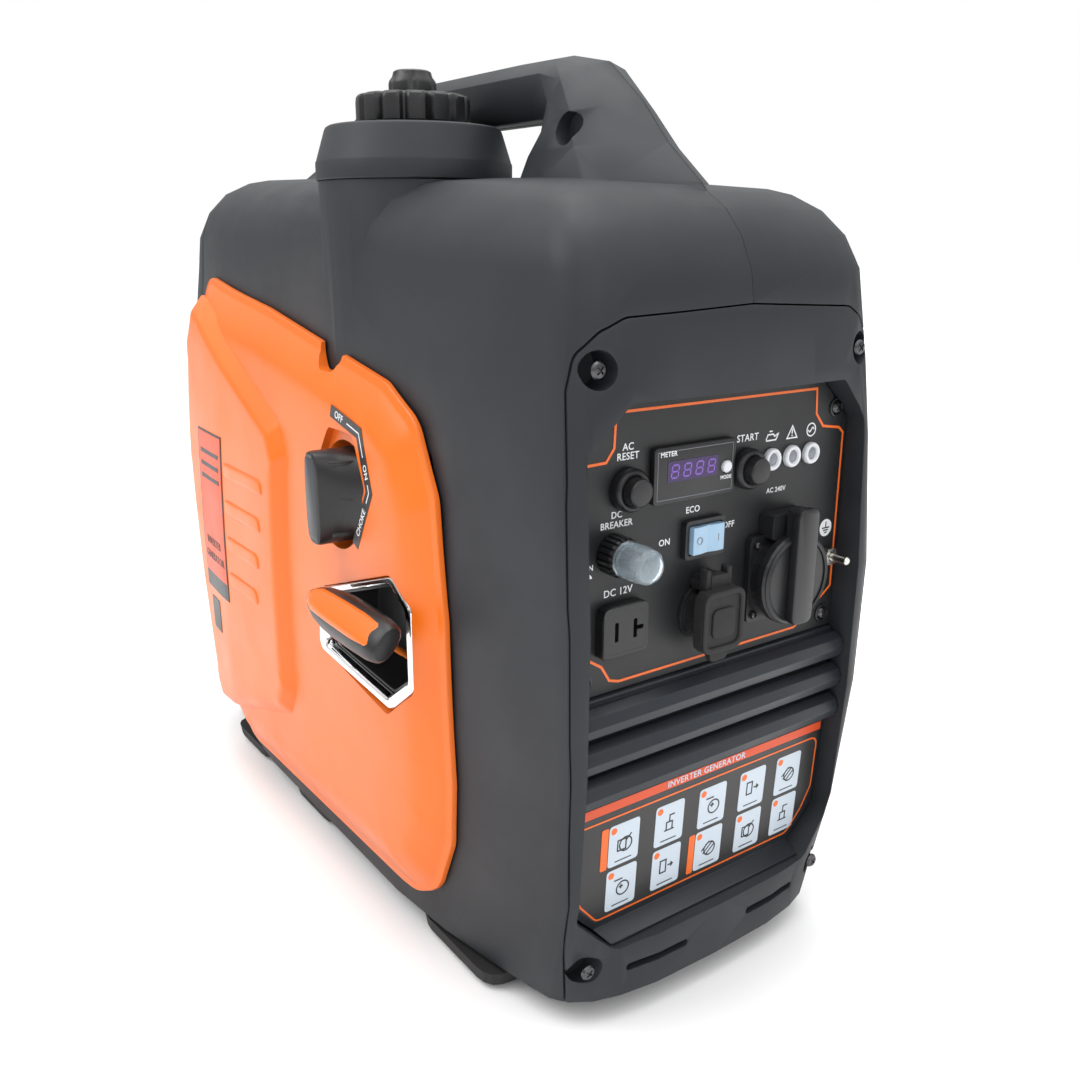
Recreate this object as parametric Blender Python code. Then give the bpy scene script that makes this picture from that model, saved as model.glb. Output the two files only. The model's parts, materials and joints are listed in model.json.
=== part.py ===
"""Portable inverter generator with moulded covers, carrying handle, control panel and engine.

Metres, +Z up. The control panel faces -Y, the starter side faces -X, and the ground is Z = 0.
Every piece is drawn about the mid-plane between the two half covers (X = 0). The empty called
generator_root then shifts the whole object so that the middle of its bounding box is the origin.
"""

import math

import bmesh
import bpy
from mathutils import Matrix, Vector

# Overall body
BODY_LENGTH = 0.500
BODY_BOTTOM = 0.012
SHELL = 0.003
GAP = 0.0003
SHOULDER_START = 0.357
SHOULDER_WIDTH = 0.045
SHOULDER_DEPTH = 0.050
REAR_SHOULDER_DEPTH = 0.085
SHOULDER_HEIGHT = 0.060
ROOF_SLOPE = 0.036
ROOF_LEVEL_AT = -0.120
TAPER_START = 0.110
TAPER_LENGTH = 0.134
END_POWER = 3.0
SHOULDER_POWER = 2.5

# Seams between the mouldings
BEZEL_BACK = -0.214
REAR_SEAM = 0.2133
SEAM_GAP = 0.0008

# Front opening and what sits in it
OPENING_HALF = 0.0925
OPENING_TOP = 0.322
OPENING_BOTTOM = 0.046
PANEL_FACE = -0.231
PANEL_THICK = 0.004
PANEL_FOOT = 0.182

ROCKER_X = -0.0118
ROCKER_Z = 0.250

# Side panels
PANEL_GAP = 0.0007
PANEL_RISE = 0.004
PANEL_CORE_RISE = 0.0120
PANEL_BLOCK_RISE = 0.0200

# Filler
FILLER_X = -0.055
FILLER_Y = -0.034
BOSS_RADIUS = 0.054
BOSS_TOP = 0.4185

# Starter
ROPE_Y = -0.104
ROPE_RADIUS = 0.002
PULLEY_RADIUS = 0.038
PULL_ANGLE = 40.0
GRIP_X = -0.1415
GRIP_Z = 0.1955
STARTER_LEAN = 0.065
STARTER_REAR = -0.040

# Engine switch
SWITCH_Y = -0.063
SWITCH_Z = 0.2525

# Handle
HANDLE_TOP = 0.482

# The starter grip stands out on one side only and the breaker's cap in front, so the middle of
# the whole box lies off the middle of the body
GRIP_OUT = 0.1527
WIDEST_RIGHT = 0.1360
CAP_FRONT = 0.2599
ROOT_SHIFT_X = (GRIP_OUT - WIDEST_RIGHT) / 2
ROOT_SHIFT_Y = (CAP_FRONT - BODY_LENGTH / 2) / 2

X_AXIS = Vector((1, 0, 0))
Y_AXIS = Vector((0, 1, 0))
Z_AXIS = Vector((0, 0, 1))

# The rope leaves its pulley on a line that rises outward to the grip, so the crankshaft's
# height follows from where the grip sits.
PULL = Vector((-math.cos(math.radians(PULL_ANGLE)), 0, math.sin(math.radians(PULL_ANGLE))))
GRIP_AT = Vector((GRIP_X, ROPE_Y, GRIP_Z))
CRANK_Z = GRIP_Z + GRIP_X * math.tan(math.radians(PULL_ANGLE)) + PULLEY_RADIUS / -PULL.x


# ---------------------------------------------------------------- helpers


def clear_scene():
    for thing in list(bpy.data.objects):
        bpy.data.objects.remove(thing, do_unlink=True)


def paint(name, colour, roughness, metallic=0.0):
    material = bpy.data.materials.new(name)
    material.use_nodes = True
    shader = material.node_tree.nodes["Principled BSDF"]
    shader.inputs["Base Color"].default_value = (*colour, 1.0)
    shader.inputs["Roughness"].default_value = roughness
    shader.inputs["Metallic"].default_value = metallic
    return material


def to_object(mesh_data, name="shape"):
    """Turns bmesh geometry into an object in the scene, with its faces pointing out."""
    bmesh.ops.recalc_face_normals(mesh_data, faces=mesh_data.faces)
    mesh = bpy.data.meshes.new(name)
    mesh_data.to_mesh(mesh)
    mesh_data.free()
    thing = bpy.data.objects.new(name, mesh)
    bpy.context.collection.objects.link(thing)
    return thing


def loft(rings, closed=False):
    """Skins a list of rings with equal point counts, capping both ends unless closed."""
    mesh_data = bmesh.new()
    loops = [[mesh_data.verts.new(point) for point in ring] for ring in rings]
    pairs = list(zip(loops, loops[1:]))
    if closed:
        pairs.append((loops[-1], loops[0]))
    count = len(loops[0])
    for lower, upper in pairs:
        for i in range(count):
            j = (i + 1) % count
            mesh_data.faces.new((lower[i], lower[j], upper[j], upper[i]))
    if not closed:
        mesh_data.faces.new(loops[0])
        mesh_data.faces.new(loops[-1])
    return to_object(mesh_data)


def box(x0, x1, y0, y1, z0, z1, bevel=0.0):
    rings = []
    for z in (z0, z1):
        rings.append([(x0, y0, z), (x1, y0, z), (x1, y1, z), (x0, y1, z)])
    thing = loft(rings)
    if bevel:
        mesh_data = bmesh.new()
        mesh_data.from_mesh(thing.data)
        bmesh.ops.bevel(mesh_data, geom=mesh_data.edges[:], offset=bevel, segments=2,
                        profile=0.5, affect="EDGES")
        mesh_data.to_mesh(thing.data)
        mesh_data.free()
    return thing


def prism(outline, axis, start, end):
    """Extrudes a closed outline along X, Y or Z. Its points are the two other coordinates."""
    rings = []
    for place in (start, end):
        if axis == "X":
            rings.append([(place, a, b) for a, b in outline])
        elif axis == "Y":
            rings.append([(a, place, b) for a, b in outline])
        else:
            rings.append([(a, b, place) for a, b in outline])
    return loft(rings)


def turned(profile, centre, axis, steps=20):
    """Turns (radius, distance) points about an axis; a radius of 0 closes the end to a point."""
    mesh_data = bmesh.new()
    turn = Z_AXIS.rotation_difference(axis).to_matrix()
    loops = []
    for radius, distance in profile:
        loop = []
        for i in range(steps if radius > 0 else 1):
            angle = 2 * math.pi * i / steps
            point = Vector((radius * math.cos(angle), radius * math.sin(angle), distance))
            loop.append(mesh_data.verts.new(Vector(centre) + turn @ point))
        loops.append(loop)
    ends_open = profile[0][0] > 0 and profile[-1][0] > 0
    pairs = list(zip(loops, loops[1:]))
    if ends_open:
        pairs.append((loops[-1], loops[0]))
    for first, second in pairs:
        if len(first) == len(second) == 1:
            continue
        for i in range(steps):
            j = (i + 1) % steps
            corners = [first[i % len(first)], first[j % len(first)],
                       second[j % len(second)], second[i % len(second)]]
            unique = list(dict.fromkeys(corners))
            mesh_data.faces.new(unique)
    return to_object(mesh_data)


def cylinder(centre, axis, radius, start, end, steps=20):
    return turned([(0, start), (radius, start), (radius, end), (0, end)], centre, axis, steps)


def ring(centre, axis, inner, outer, start, end, steps=20):
    profile = [(inner, start), (outer, start), (outer, end), (inner, end)]
    return turned(profile, centre, axis, steps)


def combine(target, other, operation):
    """Applies a Boolean at once and removes the second object."""
    modifier = target.modifiers.new("combine", "BOOLEAN")
    modifier.operation = operation
    modifier.solver = "EXACT"
    modifier.object = other
    view = bpy.context.view_layer
    view.update()
    result = bpy.data.meshes.new_from_object(target.evaluated_get(view.depsgraph))
    target.modifiers.clear()
    target.data = result
    bpy.data.objects.remove(other, do_unlink=True)
    return target


def cut(target, *cutters):
    for cutter in cutters:
        combine(target, cutter, "DIFFERENCE")
    return target


def join(target, *others):
    for other in others:
        combine(target, other, "UNION")
    return target


def keep(target, region):
    return combine(target, region, "INTERSECT")


def copy_of(thing):
    twin = thing.copy()
    twin.data = thing.data.copy()
    bpy.context.collection.objects.link(twin)
    return twin


def finish(thing, name, material, root, origin=(0, 0, 0), sharp=32):
    """Names a piece, sets its origin, colours it, shades it and hangs it on the root."""
    thing.name = name
    thing.data.name = name
    thing.data.transform(Matrix.Translation(-Vector(origin)))
    thing.location = origin
    thing.data.materials.clear()
    thing.data.materials.append(material)
    thing.data.shade_smooth()
    thing.data.set_sharp_from_angle(angle=math.radians(sharp))
    thing.parent = root
    return thing


def arc(centre, radius, start, end, steps):
    """Points along an arc, in degrees, both ends included."""
    points = []
    for i in range(steps + 1):
        angle = math.radians(start + (end - start) * i / steps)
        points.append((centre[0] + radius * math.cos(angle), centre[1] + radius * math.sin(angle)))
    return points


def rounded(outline, radius, steps=3):
    """Rounds the corners of a polygon that is given as a list of points."""
    points = []
    count = len(outline)
    for i in range(count):
        corner = Vector(outline[i])
        before = (Vector(outline[i - 1]) - corner).normalized()
        after = (Vector(outline[(i + 1) % count]) - corner).normalized()
        half = before.angle(after) / 2
        reach = radius / math.tan(half)
        start = corner + before * reach
        end = corner + after * reach
        for k in range(steps + 1):
            t = k / steps
            point = start * (1 - t) ** 2 + corner * 2 * t * (1 - t) + end * t ** 2
            points.append((point.x, point.y))
    return points


def rounded_box_outline(centre, width, height, radius, steps=3):
    cx, cy = centre
    half_w = width / 2
    half_h = height / 2
    corners = [(cx - half_w, cy - half_h), (cx + half_w, cy - half_h),
               (cx + half_w, cy + half_h), (cx - half_w, cy + half_h)]
    return rounded(corners, radius, steps)


# ---------------------------------------------------------------- the body's outer form


def mid_half_width(z):
    """Half-width of the dark body at its middle, at height z."""
    if z < 0.150:
        return 0.116 - 0.001 * ((z - 0.150) / 0.135) ** 2
    return 0.116 - 0.009 * ((z - 0.150) / 0.190) ** 2


def seam_half_width(z):
    """Half-width where the body meets the front bezel, at height z."""
    if z < 0.235:
        return 0.104 - 0.012 * ((z - 0.235) / 0.220) ** 2
    return 0.104 - 0.004 * ((z - 0.235) / 0.082) ** 2


def half_width(y, z):
    """Half-width at length y and height z, before the ends close."""
    past = max(0.0, abs(y) - TAPER_START) / TAPER_LENGTH
    return mid_half_width(z) - (mid_half_width(z) - seam_half_width(z)) * past ** 1.3


def end_lean(z):
    """How far the end faces lean inward above and below mid-height."""
    return 0.004 * ((z - 0.180) / 0.180) ** 2


def end_depth(z):
    """Length over which the body closes at its ends."""
    if z < 0.115:
        return 0.008 + 0.025 * ((0.115 - z) / 0.100) ** 1.5
    return 0.008 + 0.014 * max(0.0, (z - 0.235) / 0.122)


def plan_outline(z, inset):
    """Closed plan outline of the body at height z, moved inward by inset."""
    depth = end_depth(z)
    half_length = BODY_LENGTH / 2
    quarter = []
    for degrees in (90, 72, 54, 38, 22, 8):
        across = math.cos(math.radians(degrees)) ** (2 / END_POWER)
        along = math.sin(math.radians(degrees)) ** (2 / END_POWER)
        y = half_length - depth + depth * along
        quarter.append((across, y))
    straight = half_length - depth
    for part in (0.98, 0.85, 0.68, 0.45, 0.18):
        quarter.append((1.0, straight * part))
    side = []
    for across, y in quarter:
        x = max(0.0, (half_width(y, z) - inset) * across)
        along = y - (end_lean(z) + inset) * min(1.0, y / 0.200)
        side.append((x, along))
    right = [(x, -y) for x, y in side] + [(side_x, y) for side_x, y in reversed(side)]
    left = [(-x, y) for x, y in reversed(right[1:-1])]
    return right + left


def body_form(inset=0.0, flat_bottom=None):
    """The closed outer form of the body, moved inward by inset (or outward where negative)."""
    bottom = BODY_BOTTOM + inset if flat_bottom is None else flat_bottom
    rings = []
    first = plan_outline(bottom, inset + 0.003)
    rings.append([(x, y, bottom) for x, y in first])
    for z in (bottom + 0.003, 0.080, 0.150, 0.220, 0.290, 0.330, SHOULDER_START):
        rings.append([(x, y, lifted(z, y)) for x, y in plan_outline(z, inset)])
    height = SHOULDER_HEIGHT - inset
    base = plan_outline(SHOULDER_START, inset)
    for degrees in (16, 34, 52, 70, 82):
        angle = math.radians(degrees)
        rise = math.sin(angle) ** (2 / SHOULDER_POWER)
        across = 1 - math.cos(angle) ** (2 / SHOULDER_POWER)
        along = 1 - math.sqrt(1 - rise ** 2)
        level = []
        for x, y in base:
            px, py = shrunk(x, y, across, along)
            level.append((px, py, lifted(SHOULDER_START + height * rise, py)))
        rings.append(level)
    for part in (0.62, 0.10):
        level = []
        for x, y in base:
            px, py = shrunk(x, y, 1.0, 1.0)
            px *= part
            py *= 0.55 + 0.45 * part
            crown = 0.003 * (1 - part ** 2)
            level.append((px, py, lifted(SHOULDER_START + height + crown, py)))
        rings.append(level)
    return loft(rings)


def shrunk(x, y, across, along):
    """Pulls a plan point inward over the shoulder, by parts of its width and depth."""
    side = SHOULDER_WIDTH / mid_half_width(SHOULDER_START)
    depth = SHOULDER_DEPTH if y < 0 else REAR_SHOULDER_DEPTH
    end = depth / (BODY_LENGTH / 2)
    return x * (1 - side * across), y * (1 - end * along)


def lifted(z, y):
    """Raises the upper body toward the rear, which gives the roof its slope."""
    part = min(1.0, max(0.0, (z - 0.300) / 0.110))
    return z + part * ROOF_SLOPE * (y - ROOF_LEVEL_AT)


# ---------------------------------------------------------------- covers and handle


def handle_station(outer, inner, corner, wedge, half, edge):
    """One section of the handle: ridge at outer, gap side at inner, flat sides between."""
    top = Vector((0, *outer))
    down = Vector((0, *inner)) - top
    depth = down.length
    down.normalize()
    points = [(0, 0), (corner, wedge), (half, edge), (half, depth * 0.72),
              (half - 0.006, depth), (0, depth)]
    mirrored = [(-x, d) for x, d in reversed(points[1:-1])]
    return [top + X_AXIS * x + down * d for x, d in points + mirrored]


def carrying_handle():
    """The handle with its wedge-shaped front strut, level grip and rear strut."""
    stations = [
        handle_station((-0.224, 0.398), (-0.100, 0.398), 0.035, 0.034, 0.038, 0.048),
        handle_station((-0.208, 0.415), (-0.102, 0.419), 0.033, 0.029, 0.036, 0.042),
        handle_station((-0.184, 0.434), (-0.105, 0.430), 0.024, 0.018, 0.033, 0.032),
        handle_station((-0.165, 0.454), (-0.111, 0.442), 0.018, 0.012, 0.029, 0.022),
        handle_station((-0.138, 0.475), (-0.108, 0.449), 0.013, 0.004, 0.023, 0.014),
        handle_station((-0.109, HANDLE_TOP - 0.001), (-0.092, 0.450), 0.012, 0.003, 0.019, 0.011),
        handle_station((-0.060, HANDLE_TOP), (-0.060, 0.4505), 0.011, 0.003, 0.017, 0.010),
        handle_station((0.020, HANDLE_TOP), (0.020, 0.4505), 0.011, 0.003, 0.017, 0.010),
        handle_station((0.080, HANDLE_TOP), (0.078, 0.4505), 0.011, 0.003, 0.017, 0.010),
        handle_station((0.108, 0.479), (0.094, 0.447), 0.012, 0.003, 0.018, 0.010),
        handle_station((0.130, 0.464), (0.100, 0.441), 0.014, 0.004, 0.022, 0.012),
        handle_station((0.150, 0.442), (0.102, 0.434), 0.020, 0.006, 0.030, 0.016),
        handle_station((0.172, 0.429), (0.100, 0.426), 0.030, 0.010, 0.040, 0.024),
        handle_station((0.176, 0.415), (0.099, 0.413), 0.030, 0.010, 0.040, 0.024),
    ]
    return loft(stations)


def filler_boss():
    """Round tower that carries the filler collar and runs down the shoulder."""
    return cylinder((FILLER_X, FILLER_Y, 0), Z_AXIS, BOSS_RADIUS, 0.318, BOSS_TOP + 0.003, 36)


def bezel_outline(grow=0.0):
    """Front view of the bezel's outer edge: follows the body's corner, clipped at the top."""
    half = [(0.0885, -0.010), (0.0900, 0.015), (0.0950, 0.060), (0.0985, 0.115), (0.1008, 0.170),
            (0.1020, 0.235), (0.1008, 0.280), (0.0978, 0.328), (0.0940, 0.343), (0.0840, 0.352),
            (0.0720, 0.3575)]
    right = [(x + grow, z + (grow if z > 0.340 else 0.0)) for x, z in half]
    left = [(-x, z) for x, z in reversed(right)]
    return rounded(right + [(0.0, 0.361 + grow)] + left, 0.012, 3)


def half_covers(root, dark):
    """Left and right half covers, each with its half of the handle."""
    cover = body_form()
    join(cover, carrying_handle(), filler_boss())
    cut(cover, body_form(SHELL))
    cut(cover, cylinder((FILLER_X, FILLER_Y, 0), Z_AXIS, BOSS_RADIUS - 0.0035, 0.300, 0.430, 36))
    cut(cover, cylinder((FILLER_X, FILLER_Y, 0), Z_AXIS, BOSS_RADIUS + 0.002, BOSS_TOP, 0.449, 36))
    cut(cover, prism(bezel_outline(SEAM_GAP), "Y", -0.300, BEZEL_BACK + SEAM_GAP))
    cut(cover, box(-0.140, 0.140, REAR_SEAM - SEAM_GAP, 0.300, 0.0, 0.500))
    cut(cover, prism(rounded_box_outline((0, 0), 0.196, 0.404, 0.020), "Z", 0.0, 0.020))
    for side in (-1, 1):
        window = prism(rounded_box_outline((-0.012, 0.172), 0.264, 0.236, 0.015, 2), "X",
                       side * 0.085, side * 0.150)
        cut(cover, window)
        cut(cover, cylinder((side * 0.022, -0.143, 0.441), X_AXIS * side, 0.0082, 0, 0.020, 18))
    right = copy_of(cover)
    keep(cover, box(-0.200, -0.00015, -0.300, 0.300, -0.010, 0.600))
    keep(right, box(0.00015, 0.200, -0.300, 0.300, -0.010, 0.600))
    finish(cover, "left_cover", dark, root)
    finish(right, "right_cover", dark, root)


def opening_outline(grow=0.0):
    """Front view of the bezel's opening, with clipped corners."""
    half = OPENING_HALF + grow
    top = OPENING_TOP + grow
    bottom = OPENING_BOTTOM - grow
    clip = 0.022
    return [(-half + clip, bottom), (half - clip, bottom), (half, bottom + clip),
            (half, top - clip), (half - clip, top), (-half + clip, top),
            (-half, top - clip), (-half, bottom + clip)]


def front_bezel(root, dark):
    """Frame round the control panel, with screw wells and two slots along its foot."""
    bezel = keep(body_form(), prism(bezel_outline(), "Y", -0.300, BEZEL_BACK))
    cut(bezel, prism(rounded(opening_outline(), 0.008), "Y", -0.300, -0.100))
    for x, z in ((-0.0855, 0.3365), (0.0855, 0.3365), (-0.0840, 0.0365), (0.0840, 0.0365)):
        cut(bezel, cylinder((x, 0, z), Y_AXIS, 0.0085, -0.300, -0.226, 20))
    for x in (-0.042, 0.042):
        slot = prism(rounded_box_outline((x, 0.0315), 0.040, 0.0045, 0.002), "Y", -0.300, -0.234)
        cut(bezel, slot)
    finish(bezel, "front_bezel", dark, root)


def rear_cover(root, dark):
    """Rear end cover with a louvre and the hole for the tail pipe."""
    cover = keep(body_form(), box(-0.140, 0.140, REAR_SEAM, 0.300, 0.0, 0.500))
    cut(cover, body_form(SHELL))
    for k in range(7):
        z = 0.1015 + 0.016 * k
        cut(cover, box(-0.073, 0.036, 0.225, 0.270, z - 0.0035, z + 0.0035))
    cut(cover, cylinder((0.045, 0, 0.262), Y_AXIS, 0.022, 0.225, 0.270, 20))
    finish(cover, "rear_cover", dark, root)


def base_tray(root, dark):
    """Shallow tray that closes the bottom between the covers."""
    outline = rounded_box_outline((0, 0), 0.194, 0.402, 0.020)
    tray = prism(outline, "Z", BODY_BOTTOM, 0.034)
    pocket = prism(rounded_box_outline((0, 0), 0.184, 0.392, 0.016), "Z", 0.020, 0.050)
    cut(tray, pocket)
    for k in range(3):
        x = -0.045 + 0.045 * k
        cut(tray, prism(rounded_box_outline((x, 0.020), 0.010, 0.090, 0.003, 1), "Z", 0.0, 0.030))
    finish(tray, "base_tray", dark, root)


def feet(root, rubber):
    """Three rubber feet along each side."""
    for place, y0, y1 in (("front", -0.191, -0.113), ("middle", 0.005, 0.072), ("rear", 0.118, 0.186)):
        for side, label in ((-1, "left"), (1, "right")):
            x = side * 0.082
            rings = []
            for z, shrink in ((0.0, 0.006), (0.004, 0.001), (0.0117, 0.0)):
                outline = rounded_box_outline((x, (y0 + y1) / 2), 0.058 - 2 * shrink,
                                              y1 - y0 - 2 * shrink, 0.014, 4)
                rings.append([(a, b, z) for a, b in outline])
            finish(loft(rings), "foot_" + place + "_" + label, rubber, root)


# ---------------------------------------------------------------- orange side panels


def side_outline(shrink=0.0):
    """Side view (Y, Z) of an orange panel, clockwise from its rear top corner."""
    s = shrink
    return [(0.186 - s, 0.362 - s), (0.060, 0.346 - s), (-0.100, 0.318 - s), (-0.131 + s, 0.302 - s),
            (-0.151 + s, 0.266), (-0.160 + s, 0.205), (-0.163 + s, 0.115),
            (-0.160 + s, 0.078 + s / 2), (-0.146 + s, 0.043 + s), (-0.126 + s, 0.032 + s),
            (0.130, 0.026 + s), (0.168 - s, 0.038 + s), (0.190 - s, 0.110),
            (0.204 - s, 0.240), (0.200 - s, 0.330)]


def block_outline():
    """Side view of the raised rear block of a panel."""
    return [(0.180, 0.350), (0.160, 0.346), (0.018, 0.282), (0.008, 0.264),
            (0.008, 0.104), (0.018, 0.086), (0.160, 0.040), (0.172, 0.052),
            (0.186, 0.140), (0.196, 0.240), (0.194, 0.325)]


def panel_layer(outline, rise, side):
    """A skin over the body's side with the given outline and height above the body."""
    skin = body_form(-rise)
    return keep(skin, prism(outline, "X", side * 0.060, side * 0.160))


def side_panel(root, orange, side, name):
    """Orange cover: flange, raised core and raised rear block."""
    panel = panel_layer(rounded(side_outline(), 0.006, 2), PANEL_RISE, side)
    join(panel, panel_layer(rounded(side_outline(0.012), 0.006, 2), PANEL_CORE_RISE, side))
    join(panel, panel_layer(rounded(block_outline(), 0.005, 2), PANEL_BLOCK_RISE, side))
    cut(panel, body_form(-PANEL_GAP))
    if side < 0:
        cut(panel, cylinder((FILLER_X, FILLER_Y, 0), Z_AXIS, BOSS_RADIUS + 0.0010, 0.300, 0.450, 36))
        cut(panel, prism(starter_outline(0.0006), "X", -0.200, -0.060))
        at = (0, SWITCH_Y, SWITCH_Z)
        join(panel, cylinder(at, -X_AXIS, 0.0335, 0.104, 0.1200, 24))
        cut(panel, cylinder(at, -X_AXIS, 0.0305, 0.1065, 0.200, 24))
        cut(panel, cylinder(at, -X_AXIS, 0.0105, 0.090, 0.200, 16))
    finish(panel, name, orange, root)


# ---------------------------------------------------------------- starter and switch


def starter_outline(grow=0.0):
    """Side view (Y, Z) of the bright surround, an uneven hexagon."""
    centre = Vector((-0.090, 0.182))
    corners = [(-0.040, 0.193), (-0.123, 0.222), (-0.140, 0.208), (-0.141, 0.162),
               (-0.117, 0.142), (-0.037, 0.155)]
    grown = []
    for corner in corners:
        offset = Vector(corner) - centre
        grown.append(tuple(centre + offset * (1 + grow / offset.length)))
    return rounded(grown, 0.007, 3)


def leaned(thing):
    """Leans a starter piece in toward the front, as the panel's face does."""
    for vertex in thing.data.vertices:
        vertex.co.x += STARTER_LEAN * (STARTER_REAR - vertex.co.y)
    return thing


def starter(root, chrome, black, orange):
    """Bright surround, cup behind it, grip and rope."""
    surround = prism(starter_outline(), "X", -0.1305, -0.114)
    cut(surround, prism(starter_outline(-0.0085), "X", -0.200, -0.050))
    finish(leaned(surround), "starter_surround", chrome, root)

    cup = prism(starter_outline(-0.0092), "X", -0.124, -0.094)
    cut(cup, prism(starter_outline(-0.0112), "X", -0.200, -0.097))
    leaned(cup)
    cut(cup, cylinder(GRIP_AT, PULL, 0.0045, -0.120, 0.0, 12))
    finish(cup, "starter_cup", black, root)

    across = PULL.cross(Y_AXIS)
    rings = []
    for along, thick, wide in ((-0.046, 0.003, 0.004), (-0.041, 0.006, 0.009),
                               (-0.022, 0.0085, 0.0125), (0.0, 0.0095, 0.0135),
                               (0.022, 0.0085, 0.0125), (0.041, 0.006, 0.009),
                               (0.046, 0.003, 0.004)):
        section = []
        for degrees in range(0, 360, 30):
            angle = math.radians(degrees)
            section.append(GRIP_AT + Y_AXIS * along + PULL * thick * math.cos(angle)
                           + across * wide * math.sin(angle))
        rings.append(section)
    stem = turned([(0, -0.026), (0.0055, -0.026), (0.0075, -0.016), (0.0080, 0.0), (0, 0.0)],
                  GRIP_AT, PULL, 16)
    finish(join(loft(rings), stem), "starter_grip", black, root, GRIP_AT)

    reach = -GRIP_X / -PULL.x - PULLEY_RADIUS * math.tan(math.radians(PULL_ANGLE))
    rope = cylinder(GRIP_AT, PULL, ROPE_RADIUS, -reach, -0.0263, 8)
    finish(rope, "starter_rope", orange, root, GRIP_AT)


def engine_switch(root, black):
    """Round switch with a raised finger bar, turning about X."""
    rings = []
    for out, wide, tall, power in ((0.1100, 0.0265, 0.0265, 2.0), (0.1190, 0.0265, 0.0265, 2.0),
                                   (0.1310, 0.0130, 0.0265, 2.4), (0.1395, 0.0085, 0.0260, 3.5),
                                   (0.1410, 0.0075, 0.0250, 3.5)):
        section = []
        for degrees in range(0, 360, 15):
            across = math.cos(math.radians(degrees))
            up = math.sin(math.radians(degrees))
            y = SWITCH_Y + wide * math.copysign(abs(across) ** (2 / power), across)
            z = SWITCH_Z + tall * math.copysign(abs(up) ** (2 / power), up)
            section.append((-out, y, z))
        rings.append(section)
    shaft = cylinder((0, SWITCH_Y, SWITCH_Z), -X_AXIS, 0.0100, 0.0950, 0.1120, 16)
    knob = join(loft(rings), shaft)
    finish(knob, "engine_switch", black, root, (-0.1100, SWITCH_Y, SWITCH_Z))


# ---------------------------------------------------------------- filler


def filler(root, dark, black):
    """Collar, cap plug, ribbed cap and vent knob."""
    at = (FILLER_X, FILLER_Y, 0)
    collar = turned([(0.0415, 0.4188), (0.055, 0.4188), (0.055, 0.4288), (0.049, 0.445),
                     (0.0475, 0.4462), (0.036, 0.4462), (0.036, 0.4430), (0.0415, 0.4430)],
                    at, Z_AXIS, 36)
    finish(collar, "filler_collar", dark, root)

    plug = turned([(0, 0.4160), (0.024, 0.4160), (0.026, 0.4180), (0.026, 0.4486), (0, 0.4486)],
                  at, Z_AXIS, 24)
    finish(plug, "cap_plug", black, root, (FILLER_X, FILLER_Y, 0.4486))

    count = 12
    rings = []
    for z, inset in ((0.4490, 0.0), (0.4620, 0.0004), (0.4640, 0.0025)):
        level = []
        for i in range(count * 4):
            angle = 2 * math.pi * i / (count * 4)
            radius = 0.0318 - inset - (0.0016 if i % 4 == 0 else 0.0)
            level.append((FILLER_X + radius * math.cos(angle), FILLER_Y + radius * math.sin(angle), z))
        rings.append(level)
    finish(loft(rings), "fuel_cap", dark, root, (FILLER_X, FILLER_Y, 0.4490))

    knob = turned([(0, 0.4643), (0.0132, 0.4643), (0.0132, 0.4715), (0.0100, 0.4765), (0, 0.4770)],
                  at, Z_AXIS, 18)
    finish(knob, "vent_knob", dark, root, (FILLER_X, FILLER_Y, 0.4643))


def fuel_tank(root, black):
    """Tank under the roof, open through its neck."""
    tank = box(-0.088, 0.088, -0.105, 0.150, 0.335, 0.392, 0.012)
    join(tank, cylinder((FILLER_X, FILLER_Y, 0), Z_AXIS, 0.0320, 0.360, 0.4436, 24))
    cut(tank, box(-0.084, 0.084, -0.101, 0.146, 0.339, 0.388, 0.010))
    cut(tank, cylinder((FILLER_X, FILLER_Y, 0), Z_AXIS, 0.0280, 0.370, 0.460, 24))
    finish(tank, "fuel_tank", black, root)


# ---------------------------------------------------------------- control panel


def control_panel(root, black):
    """Plate that carries the controls, with a hole for each socket and button body."""
    clip = 0.022
    half = OPENING_HALF - 0.0008
    top = OPENING_TOP - 0.0008
    outline = [(-half, PANEL_FOOT), (half, PANEL_FOOT), (half, top - clip), (half - clip, top),
               (-half + clip, top), (-half, top - clip)]
    plate = prism(outline, "Y", PANEL_FACE, PANEL_FACE + PANEL_THICK)
    pocket = rounded_box_outline((ROCKER_X, ROCKER_Z), 0.0222, 0.0152, 0.001, 1)
    cut(plate, prism(pocket, "Y", -0.300, PANEL_FACE + 0.0025))
    finish(plate, "control_panel", black, root)


def louvre_panel(root, dark):
    """Moulding below the control panel: three rounded slats over a leaning label plate."""
    face = PANEL_FACE
    profile = [(face + 0.006, 0.1812), (face - 0.002, 0.1812)]
    for k in range(3):
        middle = 0.1715 - 0.0185 * k
        for y, z in arc((face - 0.004, middle), 0.0080, 60, 300, 6):
            profile.append((min(y, face - 0.002), z))
    profile += [(face - 0.002, 0.1235), (face + 0.002, 0.0500), (face - 0.010, 0.0470),
                (face + 0.006, 0.0470)]
    half = OPENING_HALF - 0.0008
    body = prism(profile, "X", -half, half)
    clip = 0.022
    region = [(-half + clip, 0.0468), (half - clip, 0.0468), (half, 0.0468 + clip),
              (half, 0.1900), (-half, 0.1900), (-half, 0.0468 + clip)]
    keep(body, prism(region, "Y", -0.300, -0.200))
    finish(body, "louvre_panel", dark, root)


def on_face(x, z):
    """Centre on the control panel's face, for a piece turned about Y."""
    return (x, PANEL_FACE - GAP, z)


def outward(profile, x, z, steps=16):
    """A turned piece standing out of the panel; distances count outward from its face."""
    return turned(profile, on_face(x, z), -Y_AXIS, steps)


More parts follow.
